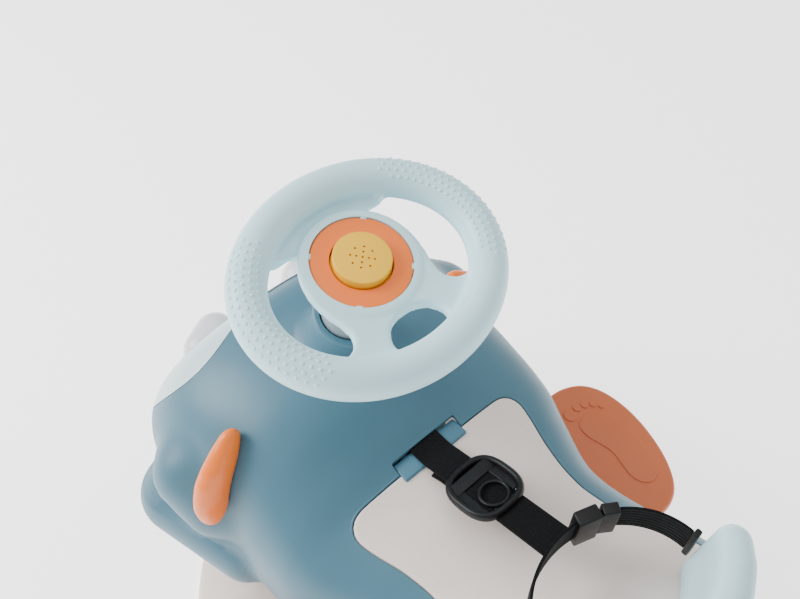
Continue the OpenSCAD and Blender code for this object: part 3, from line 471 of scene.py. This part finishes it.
def bodyPoints(u, v, inset, cols, floorDrop):
    # u goes round the section from the underside, v from the rear to the front
    col = np.rint(u * cols)
    a = np.where(col >= cols, -90.0, -90 + 360 * col / (cols - 1))
    s = v * 2 - 1
    front, rear = form["front"] - inset, form["rear"] + inset
    half = (front - rear) / 2
    crowded, even = form["spread"]
    y = (front + rear) / 2 + half * np.sin(s * math.pi / 2) * crowded + half * s * even
    p = 2 / stationCurve(y, form["corners"])
    w, up, down = halfWidth(y, inset), topRise(y, inset), form["belly"] - form["bottom"]
    ar = np.radians(np.clip(a, 0, 180))
    x = w * np.sign(np.cos(ar)) * np.abs(np.cos(ar)) ** p
    z = form["belly"] + up * np.abs(np.sin(ar)) ** p
    drop = np.where(a < 0, -a, a - 180) / 90
    low = (a < 0) | (a > 180)
    inwards = 1 + (form["bottomInset"] - 1) * np.maximum(drop, 0) ** form["tuck"]
    x = np.where(low, np.where(a < 0, 1, -1) * w * inwards, x)
    z = np.where(low, form["belly"] - (down + floorDrop) * drop, z)
    return np.c_[x, y, z]


def ballRow(pair):
    # the balls that stand for the hull of two, on both sides of the ride
    (a, ra), (b, rb) = pair
    out = []
    for k in range(13):
        t = k / 12
        centre = np.array(a) * (1 - t) + np.array(b) * t
        out += [(centre * (side, 1, 1), ra * (1 - t) + rb * t) for side in (1, -1)]
    return out


def softUnion(a, b, soft):
    h = np.clip(0.5 + 0.5 * (a - b) / soft, 0, 1)
    return a * (1 - h) + b * h - soft * h * (1 - h)


def withFenders(p):
    # pushes the skin out over the shoulders and the wheel arches, with a soft join
    axis = np.c_[np.zeros(len(p)), p[:, 1], np.full(len(p), form["belly"])]
    out = p - axis
    out = out / np.maximum(np.linalg.norm(out, axis=1), 1e-6)[:, None]
    push = np.zeros(len(p))
    near = (p[:, 1] > form["fenderFrom"]) & (p[:, 1] < form["fenderTo"]) & (np.abs(p[:, 0]) > form["fenderX"])
    q, d = p[near], out[near]
    low, high = np.zeros(len(q)), np.full(len(q), form["fenderReach"])
    for _ in range(18):
        t = (low + high) / 2
        at = q + d * t[:, None]
        field = t
        for group in ("shoulder", "arch"):
            ball = np.full(len(q), 1e9)
            for centre, r in ballRow(form[group]):
                ball = np.minimum(ball, np.linalg.norm(at - centre, axis=1) - r)
            field = softUnion(ball, field, form[group + "Soft"])
        low, high = np.where(field < 0, t, low), np.where(field < 0, high, t)
    push[near] = (low + high) / 2
    return p + out * push[:, None]


def makeBodySkin(name, inset=0, fenders=False, floorDrop=0, rows=150, cols=120):
    def shape(u, v):
        p = bodyPoints(u, v, inset, cols, floorDrop)
        return withFenders(p) if fenders else p
    return skin(name, rows, cols, shape, 0.05)


seam = {"sideY": 142, "reach": 27, "half": 108, "level": 268, "slant": 0.65, "gap": 0.6}


def seamY(x):
    return seam["sideY"] + seam["reach"] * eased((seam["half"] - np.abs(x)) / seam["half"])


def frontCutter(backOff):
    # the room in front of the seam, built in thin steps so that its slanted wall stays smooth
    xs = np.arange(-190, 190.1, 2)
    line = np.array([(x, float(seamY(x)) + backOff) for x in xs] + [(190, 460), (-190, 460)])
    levels = np.linspace(30, 330, 41)
    n = len(line)

    def shape(u, v):
        k = np.rint(u * n).astype(int) % n
        row = np.rint(v * (len(levels) + 1)).astype(int)
        z = levels[np.clip(row - 1, 0, len(levels) - 1)]
        xy = line[k].copy()
        xy[:, 1] += seam["slant"] * eased(np.abs(xy[:, 0]) / seam["half"]) * (seam["level"] - z)
        middle = (row == 0) | (row == len(levels) + 1)
        xy[middle] = (0, 400)
        return np.c_[xy, z]
    return skin("frontCutter", len(levels) + 1, n, shape)


seatLine = [(0, -4.6), (40, -4.6), (68, -4.6), (76, -7.6), (79, -16), (75, -32), (69, -50), (65, -70),
            (64, -90), (68, -112), (80, -140), (92, -170), (84, -196), (50, -206)]


def seatLoop(grow=0):
    half = np.array(seatLine, float)
    corners = np.vstack([half, half[:0:-1] * (-1, 1)])
    dense = []
    for i in range(len(corners)):
        a, b = corners[i], corners[(i + 1) % len(corners)]
        steps = max(1, int(np.linalg.norm(b - a) / 3))
        dense += [a + (b - a) * k / steps for k in range(steps)]
    dense = np.array(dense)
    for _ in range(3):
        dense = (np.roll(dense, 1, 0) + 2 * dense + np.roll(dense, -1, 0)) / 4
    if grow:
        tangent = np.roll(dense, -1, 0) - np.roll(dense, 1, 0)
        tangent /= np.linalg.norm(tangent, axis=1)[:, None]
        normal = np.c_[tangent[:, 1], -tangent[:, 0]]
        if ((dense - dense.mean(0)) * normal).sum() < 0:
            normal = -normal
        dense = dense + normal * grow
    return dense


wheel = {"y": 54, "z": 387, "tilt": 13, "hubOffset": 8.8, "rimA": 77.8, "rimB": 65.1, "rimR": 12.5,
         "hubR": 38.7, "hubTop": 0.8, "waistR": 35, "neckR": 26, "neck": -42, "waist": -18,
         "spokeTop": -0.5, "spokeLow": -10, "webTop": -4}
wheelLean = Matrix.Rotation(math.radians(wheel["tilt"]), 4, "X")
wheelFrame = Matrix.Translation((0, wheel["y"] * mm, wheel["z"] * mm)) @ wheelLean
hubFrame = wheelFrame @ Matrix.Translation((0, wheel["hubOffset"] * mm, 0))


def rimPoint(phi, theta, lift=0):
    # a point on the rim; phi runs round the oval, theta round the tube from the outside over the top
    a, b, r = wheel["rimA"], wheel["rimB"], wheel["rimR"] + lift
    c, s = np.cos(phi), np.sin(phi)
    nx, ny = b * c, a * s
    n = np.hypot(nx, ny)
    return np.c_[a * c + r * np.cos(theta) * nx / n, b * s + r * np.cos(theta) * ny / n, r * np.sin(theta)]


windowLine = [(29, 33.5), (29.5, 37), (33, 38.5), (40, 38), (47, 36.3), (54, 29.7), (60, 20.4), (63.7, 11),
              (65, 0), (63.7, -11), (60, -20.4), (55, -28), (50, -32.6), (46, -34.5), (41, -33), (37, -29),
              (35, -24), (35.6, -16), (38.2, -6), (39.2, 6), (38, 16), (34.5, 26)]
bowl = [(0, 12), (32, 12), (32, -10), (29.5, -10.02), (29.5, -18), (25.5, -18.02), (25.5, -30), (0, -30)]
wheelBuild = {"voxel": 1.25, "smooth": 7, "slotY": -44.3, "slotHalf": 20.5, "slotWidth": 25, "slotBow": 2.4,
              "windowOut": 0.93, "webHalf": 37, "webY": 30, "creaseDeep": 0.7, "creaseAt": (-63, -117),
              "creaseIn": 0.115, "creaseWide": 0.018, "creaseSpan": 14,
              "plateInset": 4, "tabIn": 30.7, "tabOut": 33.5, "tabHalf": 1.9, "tabLow": -3.4, "tabTop": 0.35,
              "tabTurn": 48}


def makeWheel():
    w, b = wheel, wheelBuild
    rim = skin("rim", 56, 240, lambda u, v: rimPoint(u * 2 * math.pi, v * 2 * math.pi))
    oval = roundLine(w["rimA"] - b["plateInset"], w["rimB"] - b["plateInset"], 120)
    plate = prism("spokes", oval, w["spokeLow"], w["spokeTop"])
    pushed = []
    for x, y in windowLine:
        # the window's outer side is pushed into the rim, so that the rim alone shapes it
        reach = math.hypot(x / w["rimA"], y / w["rimB"])
        grow = max(1, b["windowOut"] / reach) if reach > 0.8 else 1
        pushed.append((x * grow, y * grow))
    half = loopThrough(pushed, 5)
    for side in (1, -1):
        cut(plate, prism("window", half * (side, 1), -30, 20))
    slot = [(b["slotHalf"] * bowed(math.cos(t), 0.8),
             b["slotY"] + b["slotWidth"] / 2 * math.sin(t) - b["slotBow"] * math.cos(t) ** 2)
            for t in np.linspace(0, 2 * math.pi, 64, False)]
    cut(plate, prism("rearSlot", slot, -30, 20))
    cut(plate, box("webRecess", (-b["webHalf"], b["webY"], w["webTop"]), (b["webHalf"], 70, 12), 3))
    lay = Matrix.Translation((0, w["hubOffset"] * mm, 0))
    hub = turned("hub", rounded([(0, w["neck"]), (w["neckR"], w["neck"]), (w["waistR"] - 1.5, w["waist"]),
                                 (w["hubR"], -7), (w["hubR"], w["hubTop"]), (0, w["hubTop"])], 6), 120, lay)
    body = joined("wheelBody", [rim, plate, hub])
    applied(body, "REMESH", mode="VOXEL", voxel_size=b["voxel"] * mm, adaptivity=0)
    applied(body, "SMOOTH", factor=0.5, iterations=b["smooth"])
    # soft hollows where the rear spokes run into the rim
    p = readPoints(body) / mm
    phi = np.arctan2(p[:, 1] * w["rimA"], p[:, 0] * w["rimB"])
    for centre in b["creaseAt"]:
        near = np.abs(np.degrees(phi) - centre)
        inner = 1 - np.hypot(p[:, 0] / w["rimA"], p[:, 1] / w["rimB"])
        dip = np.exp(-((inner - b["creaseIn"]) / b["creaseWide"]) ** 2)
        dip = dip * np.clip(1 - near / b["creaseSpan"], 0, 1) * (p[:, 2] > -2)
        p[:, 2] -= b["creaseDeep"] * dip
    writePoints(body, p * mm)
    cut(body, turned("bowl", bowl, 120, lay))
    tabs = []
    for k in range(4):
        tab = box("discTab", (b["tabIn"], -b["tabHalf"], b["tabLow"]),
                  (b["tabOut"], b["tabHalf"], b["tabTop"]), 0.3, 2)
        tab.data.transform(lay @ Matrix.Rotation(math.radians(b["tabTurn"] + 90 * k), 4, "Z"))
        tabs.append(tab)
    body = joined("wheelBody", [body, makeGripDomes()] + tabs)
    body.data.transform(wheelFrame)
    return finished(body, "steering", "aqua_plastic", ["steering_wheel"], 50)


grip = {"rows": 5, "pitch": 5.4, "domeR": 1.3, "rise": 0.62, "from": -36, "to": 54, "low": 38, "high": 122,
        "pathR": 74, "sink": 0.12}


def makeGripDomes():
    bpy.ops.object.select_all(action="DESELECT")
    bpy.ops.mesh.primitive_ico_sphere_add(subdivisions=2, radius=1)
    seed = bpy.context.object
    unit = readPoints(seed)
    count = int(math.radians(grip["to"] - grip["from"]) * grip["pathR"] / grip["pitch"])
    pieces = []
    for row in range(grip["rows"]):
        theta = math.radians(grip["low"] + (grip["high"] - grip["low"]) * row / (grip["rows"] - 1))
        for k in range(count):
            if row in (0, grip["rows"] - 1) and (k < 1 or k > count - 2):
                continue
            phi = math.radians(grip["from"] + (grip["to"] - grip["from"]) * (k + 0.5 * (row % 2)) / count)
            for turn in (phi, math.pi - phi):
                at = rimPoint(np.array([turn]), np.array([theta]))[0]
                out = rimPoint(np.array([turn]), np.array([theta]), 1)[0] - at
                quat = Vector(out).to_track_quat("Z", "Y").to_matrix()
                shaped = unit * (grip["domeR"], grip["domeR"], grip["rise"])
                pieces.append(shaped @ np.array(quat).T + at - out * grip["sink"])
    pieceCount = len(pieces)
    domes = copyOf(seed, "gripDomes")
    bpy.data.objects.remove(seed)
    applied(domes, "ARRAY", count=pieceCount, use_relative_offset=False, use_constant_offset=True,
            constant_offset_displace=(0.01, 0, 0))
    writePoints(domes, np.vstack(pieces) * mm)
    return domes


button = {"discR": 31.6, "discThick": 2.5, "discRound": 0.8, "recessR": 19.6, "buttonR": 18.3, "flange": 0.9,
          "wall": 2, "capThick": 2.2, "top": 5, "low": -4.5, "pitch": 3.75, "hole": 0.72, "firstHole": 43}


def makeDisc():
    g = button
    corners = [(g["recessR"], -1.2), (g["recessR"], -g["discThick"]), (g["discR"], -g["discThick"]),
               (g["discR"], 0), (g["recessR"], 0), (g["recessR"], -1.2)]
    profile = [(g["recessR"] + 0.01, -1.2)] + rounded(corners, g["discRound"])[1:]
    disc = turned("soundDisc", profile, 160)
    for k in range(4):
        notch = box("notch", (g["discR"] - 1.0, -2.4, -6), (g["discR"] + 3, 2.4, 3), 0.6)
        notch.data.transform(Matrix.Rotation(math.radians(wheelBuild["tabTurn"] + 90 * k), 4, "Z"))
        cut(disc, notch)
    disc.data.transform(hubFrame)
    return finished(disc, "steering", "orange_plastic", ["sound_disc"], 40)


def makeButton():
    g = button
    inside, under = g["buttonR"] - g["wall"], g["top"] - g["capThick"]
    flangeR = g["buttonR"] + g["flange"]
    corners = [(0, under), (inside, under), (inside, g["low"]), (flangeR, g["low"]),
               (flangeR, g["low"] + 1.4), (g["buttonR"], g["low"] + 1.5), (g["buttonR"], g["top"]),
               (0, g["top"] + 0.25)]
    cap = turned("soundButton", rounded(corners, 0.9), 128)
    spots = [(0, 0)] + [(g["pitch"], math.radians(g["firstHole"] + 90 * k)) for k in range(4)]
    spots += [(2 * g["pitch"], math.radians(g["firstHole"] + 45 * k)) for k in range(8)]
    holes = []
    for r, a in spots:
        bpy.ops.object.select_all(action="DESELECT")
        place = (r * math.cos(a) * mm, r * math.sin(a) * mm, g["top"] * mm)
        bpy.ops.mesh.primitive_cylinder_add(vertices=16, radius=g["hole"] * mm, depth=8 * mm, location=place)
        bpy.ops.object.transform_apply(location=True, rotation=True, scale=True)
        holes.append(bpy.context.object)
    cut(cap, joined("holes", holes))
    cap.data.transform(hubFrame)
    return finished(cap, "button", "yellow_plastic", ["sound_button"], 40)


makeWheel()
makeDisc()
makeButton()
print("wheel, disc and button made")

post = {"r": 20, "top": -40, "low": -150, "holeR": 21.6}
postLine = [(0, post["top"]), (post["r"], post["top"]), (post["r"], post["low"]), (0, post["low"])]
column = turned("steeringColumn", rounded(postLine, 0.6), 96, hubFrame)
finished(column, "steering", "grey_plastic", ["steering_column"], 40)


skinGrid = {"rows": 170, "cols": 150, "bead": 0.9}
outer = makeBodySkin("outerSkin", 0, True, 0, skinGrid["rows"], skinGrid["cols"])
inner = makeBodySkin("innerSkin", form["wall"], False, 12, 90, 80)
cut(outer, inner)
print("body skin made")

frontPanel = cut(copyOf(outer, "frontPanel"), frontCutter(seam["gap"]), "INTERSECT")
bodyShell = cut(outer, frontCutter(0))
bodyShell.name = "bodyShell"
cut(bodyShell, prism("seatCutter", seatLoop(seam["gap"]), 200, 330))
cut(bodyShell, turned("columnHole", [(0, -60), (post["holeR"], -60), (post["holeR"], -170), (0, -170)],
                      96, hubFrame))
anchor = {"half": 29, "rear": -10.5, "front": 4.5, "low": 222, "top": 248, "gap": 0.3, "strapHalf": 13.5}
cut(bodyShell, box("barCutter", (-anchor["half"] - anchor["gap"], anchor["rear"] - anchor["gap"], 215),
                   (anchor["half"] + anchor["gap"], anchor["front"] + anchor["gap"], 300), 1.6))
print("body cut")


def tube(name, path, r, closed=True, sides=10):
    path = np.array(path, float)
    n = len(path)
    tangent = (np.roll(path, -1, 0) - np.roll(path, 1, 0)) if closed else np.gradient(path, axis=0)
    tangent /= np.maximum(np.linalg.norm(tangent, axis=1), 1e-9)[:, None]
    side = np.cross(tangent, (0, 0, 1.0))
    side /= np.maximum(np.linalg.norm(side, axis=1), 1e-6)[:, None]
    up = np.cross(side, tangent)

    def shape(u, v):
        k = np.rint(u * (n if closed else n - 1)).astype(int) % n
        a = v * 2 * math.pi
        return path[k] + r * (np.cos(a)[:, None] * side[k] + np.sin(a)[:, None] * up[k])
    return skin(name, sides, n if closed else n - 1, shape, 0.02)


def onTop(xy, inset=0):
    return np.c_[xy, topAt(xy[:, 0], xy[:, 1], inset)]


lipLine = onTop(seatLoop(seam["gap"] + skinGrid["bead"])) - (0, 0, skinGrid["bead"] * 0.72)
lip = tube("seatLip", lipLine, skinGrid["bead"])
collarOutside = [(21.3, -64.6), (25.5, -64.6), (25.8, -86), (28.5, -97), (35, -103.6), (48, -107.5)]
collarInside = [(48, -116), (21.6, -116), (21.3, -64.6)]
collarFlare = turned("collar", rounded(collarOutside, 3) + collarInside, 128, hubFrame)
cut(lip, box("lipTrim", (-29.5, -20, 215), (29.5, 10, 300)))
bodyShell = joined("bodyShell", [bodyShell, lip, collarFlare])
finished(bodyShell, "ride", "blue_plastic", ["body_shell"], 38)

nose = {"half": 23, "low": 100, "proud": 1.5, "gap": 0.5, "corner": 4}


def makeNose():
    stripe = makeBodySkin("nosePanel", -nose["proud"], False, 0, 130, 110)
    band = box("noseCutter", (-nose["half"], 100, nose["low"]), (nose["half"], 300, 330), nose["corner"], 5)
    cut(stripe, band, "INTERSECT")
    cut(stripe, frontCutter(seam["gap"] + 1.2), "INTERSECT")
    cut(stripe, makeBodySkin("noseInner", form["wall"] + 2, False, 14, 60, 60))
    return finished(stripe, "ride", "white_plastic", ["nose_panel"], 38)


makeNose()


def ballHull(name, spheres, side, segments, rings):
    # the smooth skin stretched over some balls
    balls = []
    for place, r in spheres:
        bpy.ops.object.select_all(action="DESELECT")
        bpy.ops.mesh.primitive_uv_sphere_add(segments=segments, ring_count=rings, radius=r * mm)
        ball = bpy.context.object
        ball.data.transform(Matrix.Translation((side * place[0] * mm, place[1] * mm, place[2] * mm)))
        balls.append(ball)
    return inEdit(joined(name, balls), (bpy.ops.mesh.convex_hull, {}),
                  (bpy.ops.mesh.normals_make_consistent, {"inside": False}))


lampBalls = {"spheres": [((60, 198, 213), 16), ((44, 204, 215), 17)], "segments": 64, "rings": 40,
             "holeGrow": 1.03}
for side, label in ((1, "Right"), (-1, "Left")):
    lamp = ballHull("headlamp", lampBalls["spheres"], side, lampBalls["segments"], lampBalls["rings"])
    hole = copyOf(lamp, "lampHole")
    co = readPoints(hole)
    centre = co.mean(0)
    writePoints(hole, centre + (co - centre) * lampBalls["holeGrow"])
    cut(frontPanel, hole)
    lamp.name = "headlamp" + label
    finished(lamp, "ride", "white_plastic", ["headlamp_" + label.lower()], 40)
cut(frontPanel, box("noseOpening", (-nose["half"] - nose["gap"], 100, nose["low"] - nose["gap"]),
                    (nose["half"] + nose["gap"], 300, 330), 4.4, 5))
finished(frontPanel, "ride", "pale_aqua_plastic", ["front_panel"], 38)
print("front panel, nose and lamps made")

saddle = {"proud": 0.8, "thick": 3.2, "round": 2.2, "spine": (-165, -46), "foldR": 0.5, "foldSink": 0.25}


def makeSaddle():
    loop = seatLoop(0)
    spine = np.c_[np.zeros(len(loop)), np.clip(loop[:, 1], *saddle["spine"])]
    length = np.linalg.norm(loop - spine, axis=1)
    g = saddle
    rows = [("low", f) for f in (1.0, 0.7, 0.4, 0.15, 0.0)] + [("edge", a) for a in range(0, 91, 15)]
    across = np.concatenate([np.linspace(0.0, 0.3, 12)[1:], np.linspace(0.3, 1.0, 26)[1:]])
    rows += [("top", f) for f in across]

    def shape(u, v):
        k = np.rint(u * len(loop)).astype(int) % len(loop)
        row = np.rint(v * (len(rows) - 1)).astype(int)
        out = np.zeros((len(u), 3))
        for j, (kind, f) in enumerate(rows):
            m = row == j
            kk = k[m]
            if kind == "low":
                inset, drop, part = 0.0, None, f
            elif kind == "edge":
                a = math.radians(f)
                inset, drop, part = g["round"] * (1 - math.cos(a)), g["round"] * (1 - math.sin(a)), 0
            else:
                inset, drop, part = g["round"], 0.0, f
            t = np.minimum(1, inset / length[kk] + part * (1 - inset / length[kk]))
            xy = loop[kk] + (spine[kk] - loop[kk]) * t[:, None]
            top = topAt(xy[:, 0], xy[:, 1], -g["proud"])
            z = top - g["thick"] - 1 if drop is None else top - drop
            out[m] = np.c_[xy, z]
        return out
    return skin("saddle", len(rows) - 1, len(loop), shape, 0.02)


saddleTop = makeSaddle()
foldLine = [(67, -8), (66, -18), (63.5, -32), (60.5, -46), (58.5, -60), (57.6, -74)]
folds = []
for side in (1, -1):
    path = pathThrough([(x * side, y) for x, y in foldLine], 6)
    foldPath = onTop(path, -saddle["proud"]) - (0, 0, saddle["foldSink"])
    folds.append(tube("saddleFold", foldPath, saddle["foldR"], False, 8))
saddleTop = joined("saddle", [saddleTop] + folds)
finished(saddleTop, "ride", "cream_plastic", ["seat"], 40)
print("saddle made")


def cadCopy(node, body, soft=0.5, segments=2, voxel=0, smooth=0, angle=35):
    # a merged copy of a frame piece with rounded edges, or remeshed all over where voxel is given
    new = copyOf(frame["nodes"][node], "".join(w.title() if i else w for i, w in enumerate(node.split("_"))))
    tidyNormals(new, 0.005)
    if voxel:
        applied(new, "REMESH", mode="VOXEL", voxel_size=voxel * mm)
        applied(new, "SMOOTH", factor=0.5, iterations=smooth)
    elif soft:
        inEdit(new, (bpy.ops.mesh.dissolve_limited, {"angle_limit": math.radians(1)}))
        softEdges(new, soft, segments)
    return finished(new, body, slotOf[node], [node], angle)


for nodeName, smoothing in (("backrest", 14), ("fin_left", 5), ("fin_right", 5)):
    cadCopy(nodeName, "ride", voxel=1.5, smooth=smoothing, angle=60)
print("fins and backrest made")

buttonSpring = cadCopy("button_spring", "steering", soft=0, angle=60)
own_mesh(buttonSpring)


padLine = [(0.18, 0.97), (0.66, 0.86), (0.92, 0.62), (1, 0.26), (0.92, -0.16), (0.68, -0.6), (0.34, -0.9),
           (-0.08, -1), (-0.52, -0.92), (-0.84, -0.58), (-0.95, -0.05), (-0.86, 0.52), (-0.42, 0.88)]
pad = {"x": 176, "y": -49, "halfX": 50.5, "halfY": 72.5, "low": 86.5, "top": 96.6, "bead": 4.6, "crown": 0.8,
       "markRise": 0.9, "markSoft": 0.55}
soleLine = [(176, -20), (183, -15), (194, -15.5), (203, -22), (208, -34), (209, -48), (206, -64), (202, -80),
            (195, -93), (184, -98), (175, -93), (172, -82), (175, -69), (178, -57), (177, -46), (174, -32)]
toes = [((178.5, -6.5), (5.4, 6.4)), ((189.5, -5), (3.4, 4.4)), ((197, -7.5), (2.9, 3.8)),
        ((203.3, -12.2), (2.5, 3.3)), ((208, -18.6), (2.2, 2.8))]


def makePad(side, label):
    loop = loopThrough(np.array(padLine) * (pad["halfX"], pad["halfY"]) + (pad["x"], pad["y"]), 6)
    centre = np.array((pad["x"] + 4, pad["y"]))
    n = len(loop)
    arc = [(f, "low") for f in (1.0, 0.5, 0.0)] + [(a, "edge") for a in range(-90, 91, 12)]
    arc += [(f, "top") for f in np.linspace(0, 1, 12)[1:]]
    midZ, halfZ = (pad["top"] + pad["low"]) / 2, (pad["top"] - pad["low"]) / 2

    def shape(u, v):
        k = np.rint(u * n).astype(int) % n
        row = np.rint(v * (len(arc) - 1)).astype(int)
        out = np.zeros((len(u), 3))
        for j, (f, kind) in enumerate(arc):
            m = row == j
            edge, inwards = loop[k[m]], centre - loop[k[m]]
            start = edge + inwards / np.linalg.norm(inwards, axis=1)[:, None] * pad["bead"]
            if kind == "edge":
                a = math.radians(f)
                xy = start + (edge - start) * abs(math.cos(a)) ** 0.8
                z = np.full(len(xy), midZ + halfZ * math.sin(a))
            else:
                xy = start + (centre - start) * f
                level = pad["low"] if kind == "low" else pad["top"] + pad["crown"] * eased(f * 2.2)
                z = np.full(len(xy), level)
            out[m] = np.c_[xy, z]
        return out * (side, 1, 1)
    base = skin("footrest" + label, len(arc) - 1, n, shape, 0.02)
    marks = [raisedMark(loopThrough(soleLine, 6), side)]
    for centre, (radiusX, radiusY) in toes:
        marks.append(raisedMark(roundLine(radiusX, radiusY, 36, centre), side))
    return joined("footrest" + label, [base] + marks)


def raisedMark(outline, side):
    top = pad["top"] + pad["crown"] + pad["markRise"]
    mark = prism("footMark", [(x * side, y) for x, y in outline], top - 3, top)
    return softEdges(mark, pad["markSoft"], 3, 50)


armBalls = {"spheres": [((108, -54, 100), 13), ((108, 14, 100), 13),
                        ((140, -48.6, 95.8), 10.4), ((140, 5, 95.8), 10.4)],
            "segments": 40, "rings": 20}
for side, label in ((1, "Right"), (-1, "Left")):
    plate = makePad(side, label)
    arm = ballHull("arm", armBalls["spheres"], side, armBalls["segments"], armBalls["rings"])
    footrest = joined("footrest" + label, [plate, arm])
    finished(footrest, "ride", "terracotta_plastic", ["footrest_" + label.lower()], 50)
print("foot rests made")


route = [(-52, 256.5), (-40, 253.6), (-30, 250.6), (-23, 247.8), (-17.5, 244), (-14, 240.6), (-10.5, 238.8),
         (-3, 238.6), (4.6, 238.5), (7.1, 241.5), (7.1, 247), (4.6, 249.8), (-3, 249.4), (-10, 250),
         (-16, 251.8), (-30, 256.4), (-45, 261), (-60, 265.2), (-80, 271.2), (-100, 277.2), (-112.6, 281)]
belt = {"width": 25, "waistWidth": 24, "thick": 2.0, "ribs": 8, "groove": 0.22, "steps": 44}


def ribbon(name, path, across, width):
    # a belt along a path; path and across are arrays of 3-D points and unit directions
    path, across = np.array(path, float), np.array(across, float)
    tangent = np.gradient(path, axis=0)
    tangent /= np.linalg.norm(tangent, axis=1)[:, None]
    normal = np.cross(across, tangent)
    section = []
    count = belt["steps"]
    for k in range(count + 1):
        s = k / count * 2 - 1
        edge = math.sqrt(max(0, 1 - max(0, (abs(s) - 0.93) / 0.07) ** 2))
        groove = belt["groove"] * (0.5 - 0.5 * math.cos(s * math.pi * belt["ribs"]))
        section.append((s * width / 2, belt["thick"] / 2 * max(0.25, edge) - groove))
    section += [(x, -z) for x, z in section[::-1]]
    section = np.array(section + [section[0]])

    def shape(u, v):
        k = np.rint(u * (len(path) - 1)).astype(int)
        j = np.rint(v * (len(section) - 1)).astype(int)
        return path[k] + across[k] * section[j, :1] + normal[k] * section[j, 1:]
    return skin(name, len(section) - 1, len(path) - 1, shape, 0.005)


strapPath = pathThrough(route, 6)
strapPath = np.c_[np.zeros(len(strapPath)), strapPath]
crotchStrap = ribbon("crotchStrap", strapPath, np.tile((1.0, 0, 0), (len(strapPath), 1)), belt["width"])
finished(crotchStrap, "ride", "black_webbing", ["crotch_strap"], 50)

waist = []
for start, end in ((-90, 12), (41.3, 90)):
    a = np.radians(np.linspace(start, end, 60))
    path = np.c_[60 * np.sin(a), -165 + 51 * np.cos(a), np.full(60, 282.0)]
    waist.append(ribbon("waist", path, np.tile((0, 0, 1.0), (60, 1)), belt["waistWidth"]))
waistBelt = joined("waistBelt", waist)
beltWeave = webbing("waistWeave", (11, 11, 13), "Z")
finished(waistBelt, "ride", "black_webbing", ["waist_belt"], 50, beltWeave)


slider = {"halfX": 20.2, "halfY": 21.4, "frameR": 2.6, "frameTall": 1.35, "frameZ": 0.6, "ring": 9.6,
          "ringY": -8.6, "ringR": 1.25, "ringZ": 1.9, "barLow": 7.5, "barHigh": 16.5, "barY": 12,
          "barLean": 20, "y": -54, "z": 264.9, "lean": -15.6}


def makeSlider():
    g = slider
    line = [(g["halfX"] * bowed(math.cos(t), 0.66), g["halfY"] * bowed(math.sin(t), 0.72), g["frameZ"])
            for t in np.linspace(0, 2 * math.pi, 140, False)]
    border = tube("strapSlider", line, g["frameR"], True, 20)
    co = readPoints(border)
    co[:, 2] = g["frameZ"] * mm + (co[:, 2] - g["frameZ"] * mm) * g["frameTall"]
    writePoints(border, co)
    ringLine = [(x, y, g["ringZ"]) for x, y in roundLine(g["ring"], g["ring"], 72, (0, g["ringY"]))]
    ring = tube("ring", ringLine, g["ringR"], True, 14)
    bar = box("lockBar", (-17.5, g["barLow"], -0.9), (17.5, g["barHigh"], 1.1), 0.8, 3)
    bar.data.transform(Matrix.Translation((0, g["barY"] * mm, mm))
                       @ Matrix.Rotation(math.radians(g["barLean"]), 4, "X")
                       @ Matrix.Translation((0, -g["barY"] * mm, 0)))
    sides = [box("bridge", (-19.5, -15, -1.6), (-11.2, 9, 0.4), 0.6),
             box("bridge", (11.2, -15, -1.6), (19.5, 9, 0.4), 0.6),
             box("foot", (-8, -20.5, -1.4), (8, -16.5, 1.2), 0.7)]
    body = joined("strapSlider", [border, ring, bar] + sides)
    body.data.transform(Matrix.Translation((0, g["y"] * mm, g["z"] * mm))
                        @ Matrix.Rotation(math.radians(g["lean"]), 4, "X"))
    return finished(body, "ride", "black_plastic", ["strap_slider"], 40)


makeSlider()
anchorBar = box("beltAnchorBar", (-anchor["half"], anchor["rear"], anchor["low"]),
                (anchor["half"], anchor["front"], anchor["top"]), 1.8, 4)
cut(anchorBar, box("strapPassage", (-anchor["strapHalf"], -9.2, 200), (anchor["strapHalf"], 3.6, 245.4), 1))
finished(anchorBar, "ride", "deep_blue_plastic", ["belt_anchor_bar"], 40)
for nodeName in ("belt_clip_socket", "belt_clip_tongue", "belt_anchor_plates"):
    cadCopy(nodeName, "ride", soft=1.1, segments=3)
print("belt made")


baseBody = {"base_shell": "base", "base_plate": "base", "base_feet": "base", "base_screws": "base",
            "spindle_top_nut": "base", "chassis": "ride", "chassis_screws": "ride", "footrest_bolts": "ride"}
for nodeName, body in baseBody.items():
    large = nodeName in ("base_shell", "chassis", "base_plate")
    cadCopy(nodeName, body, soft=0.8 if large else 0.4, segments=3)
print("base made")
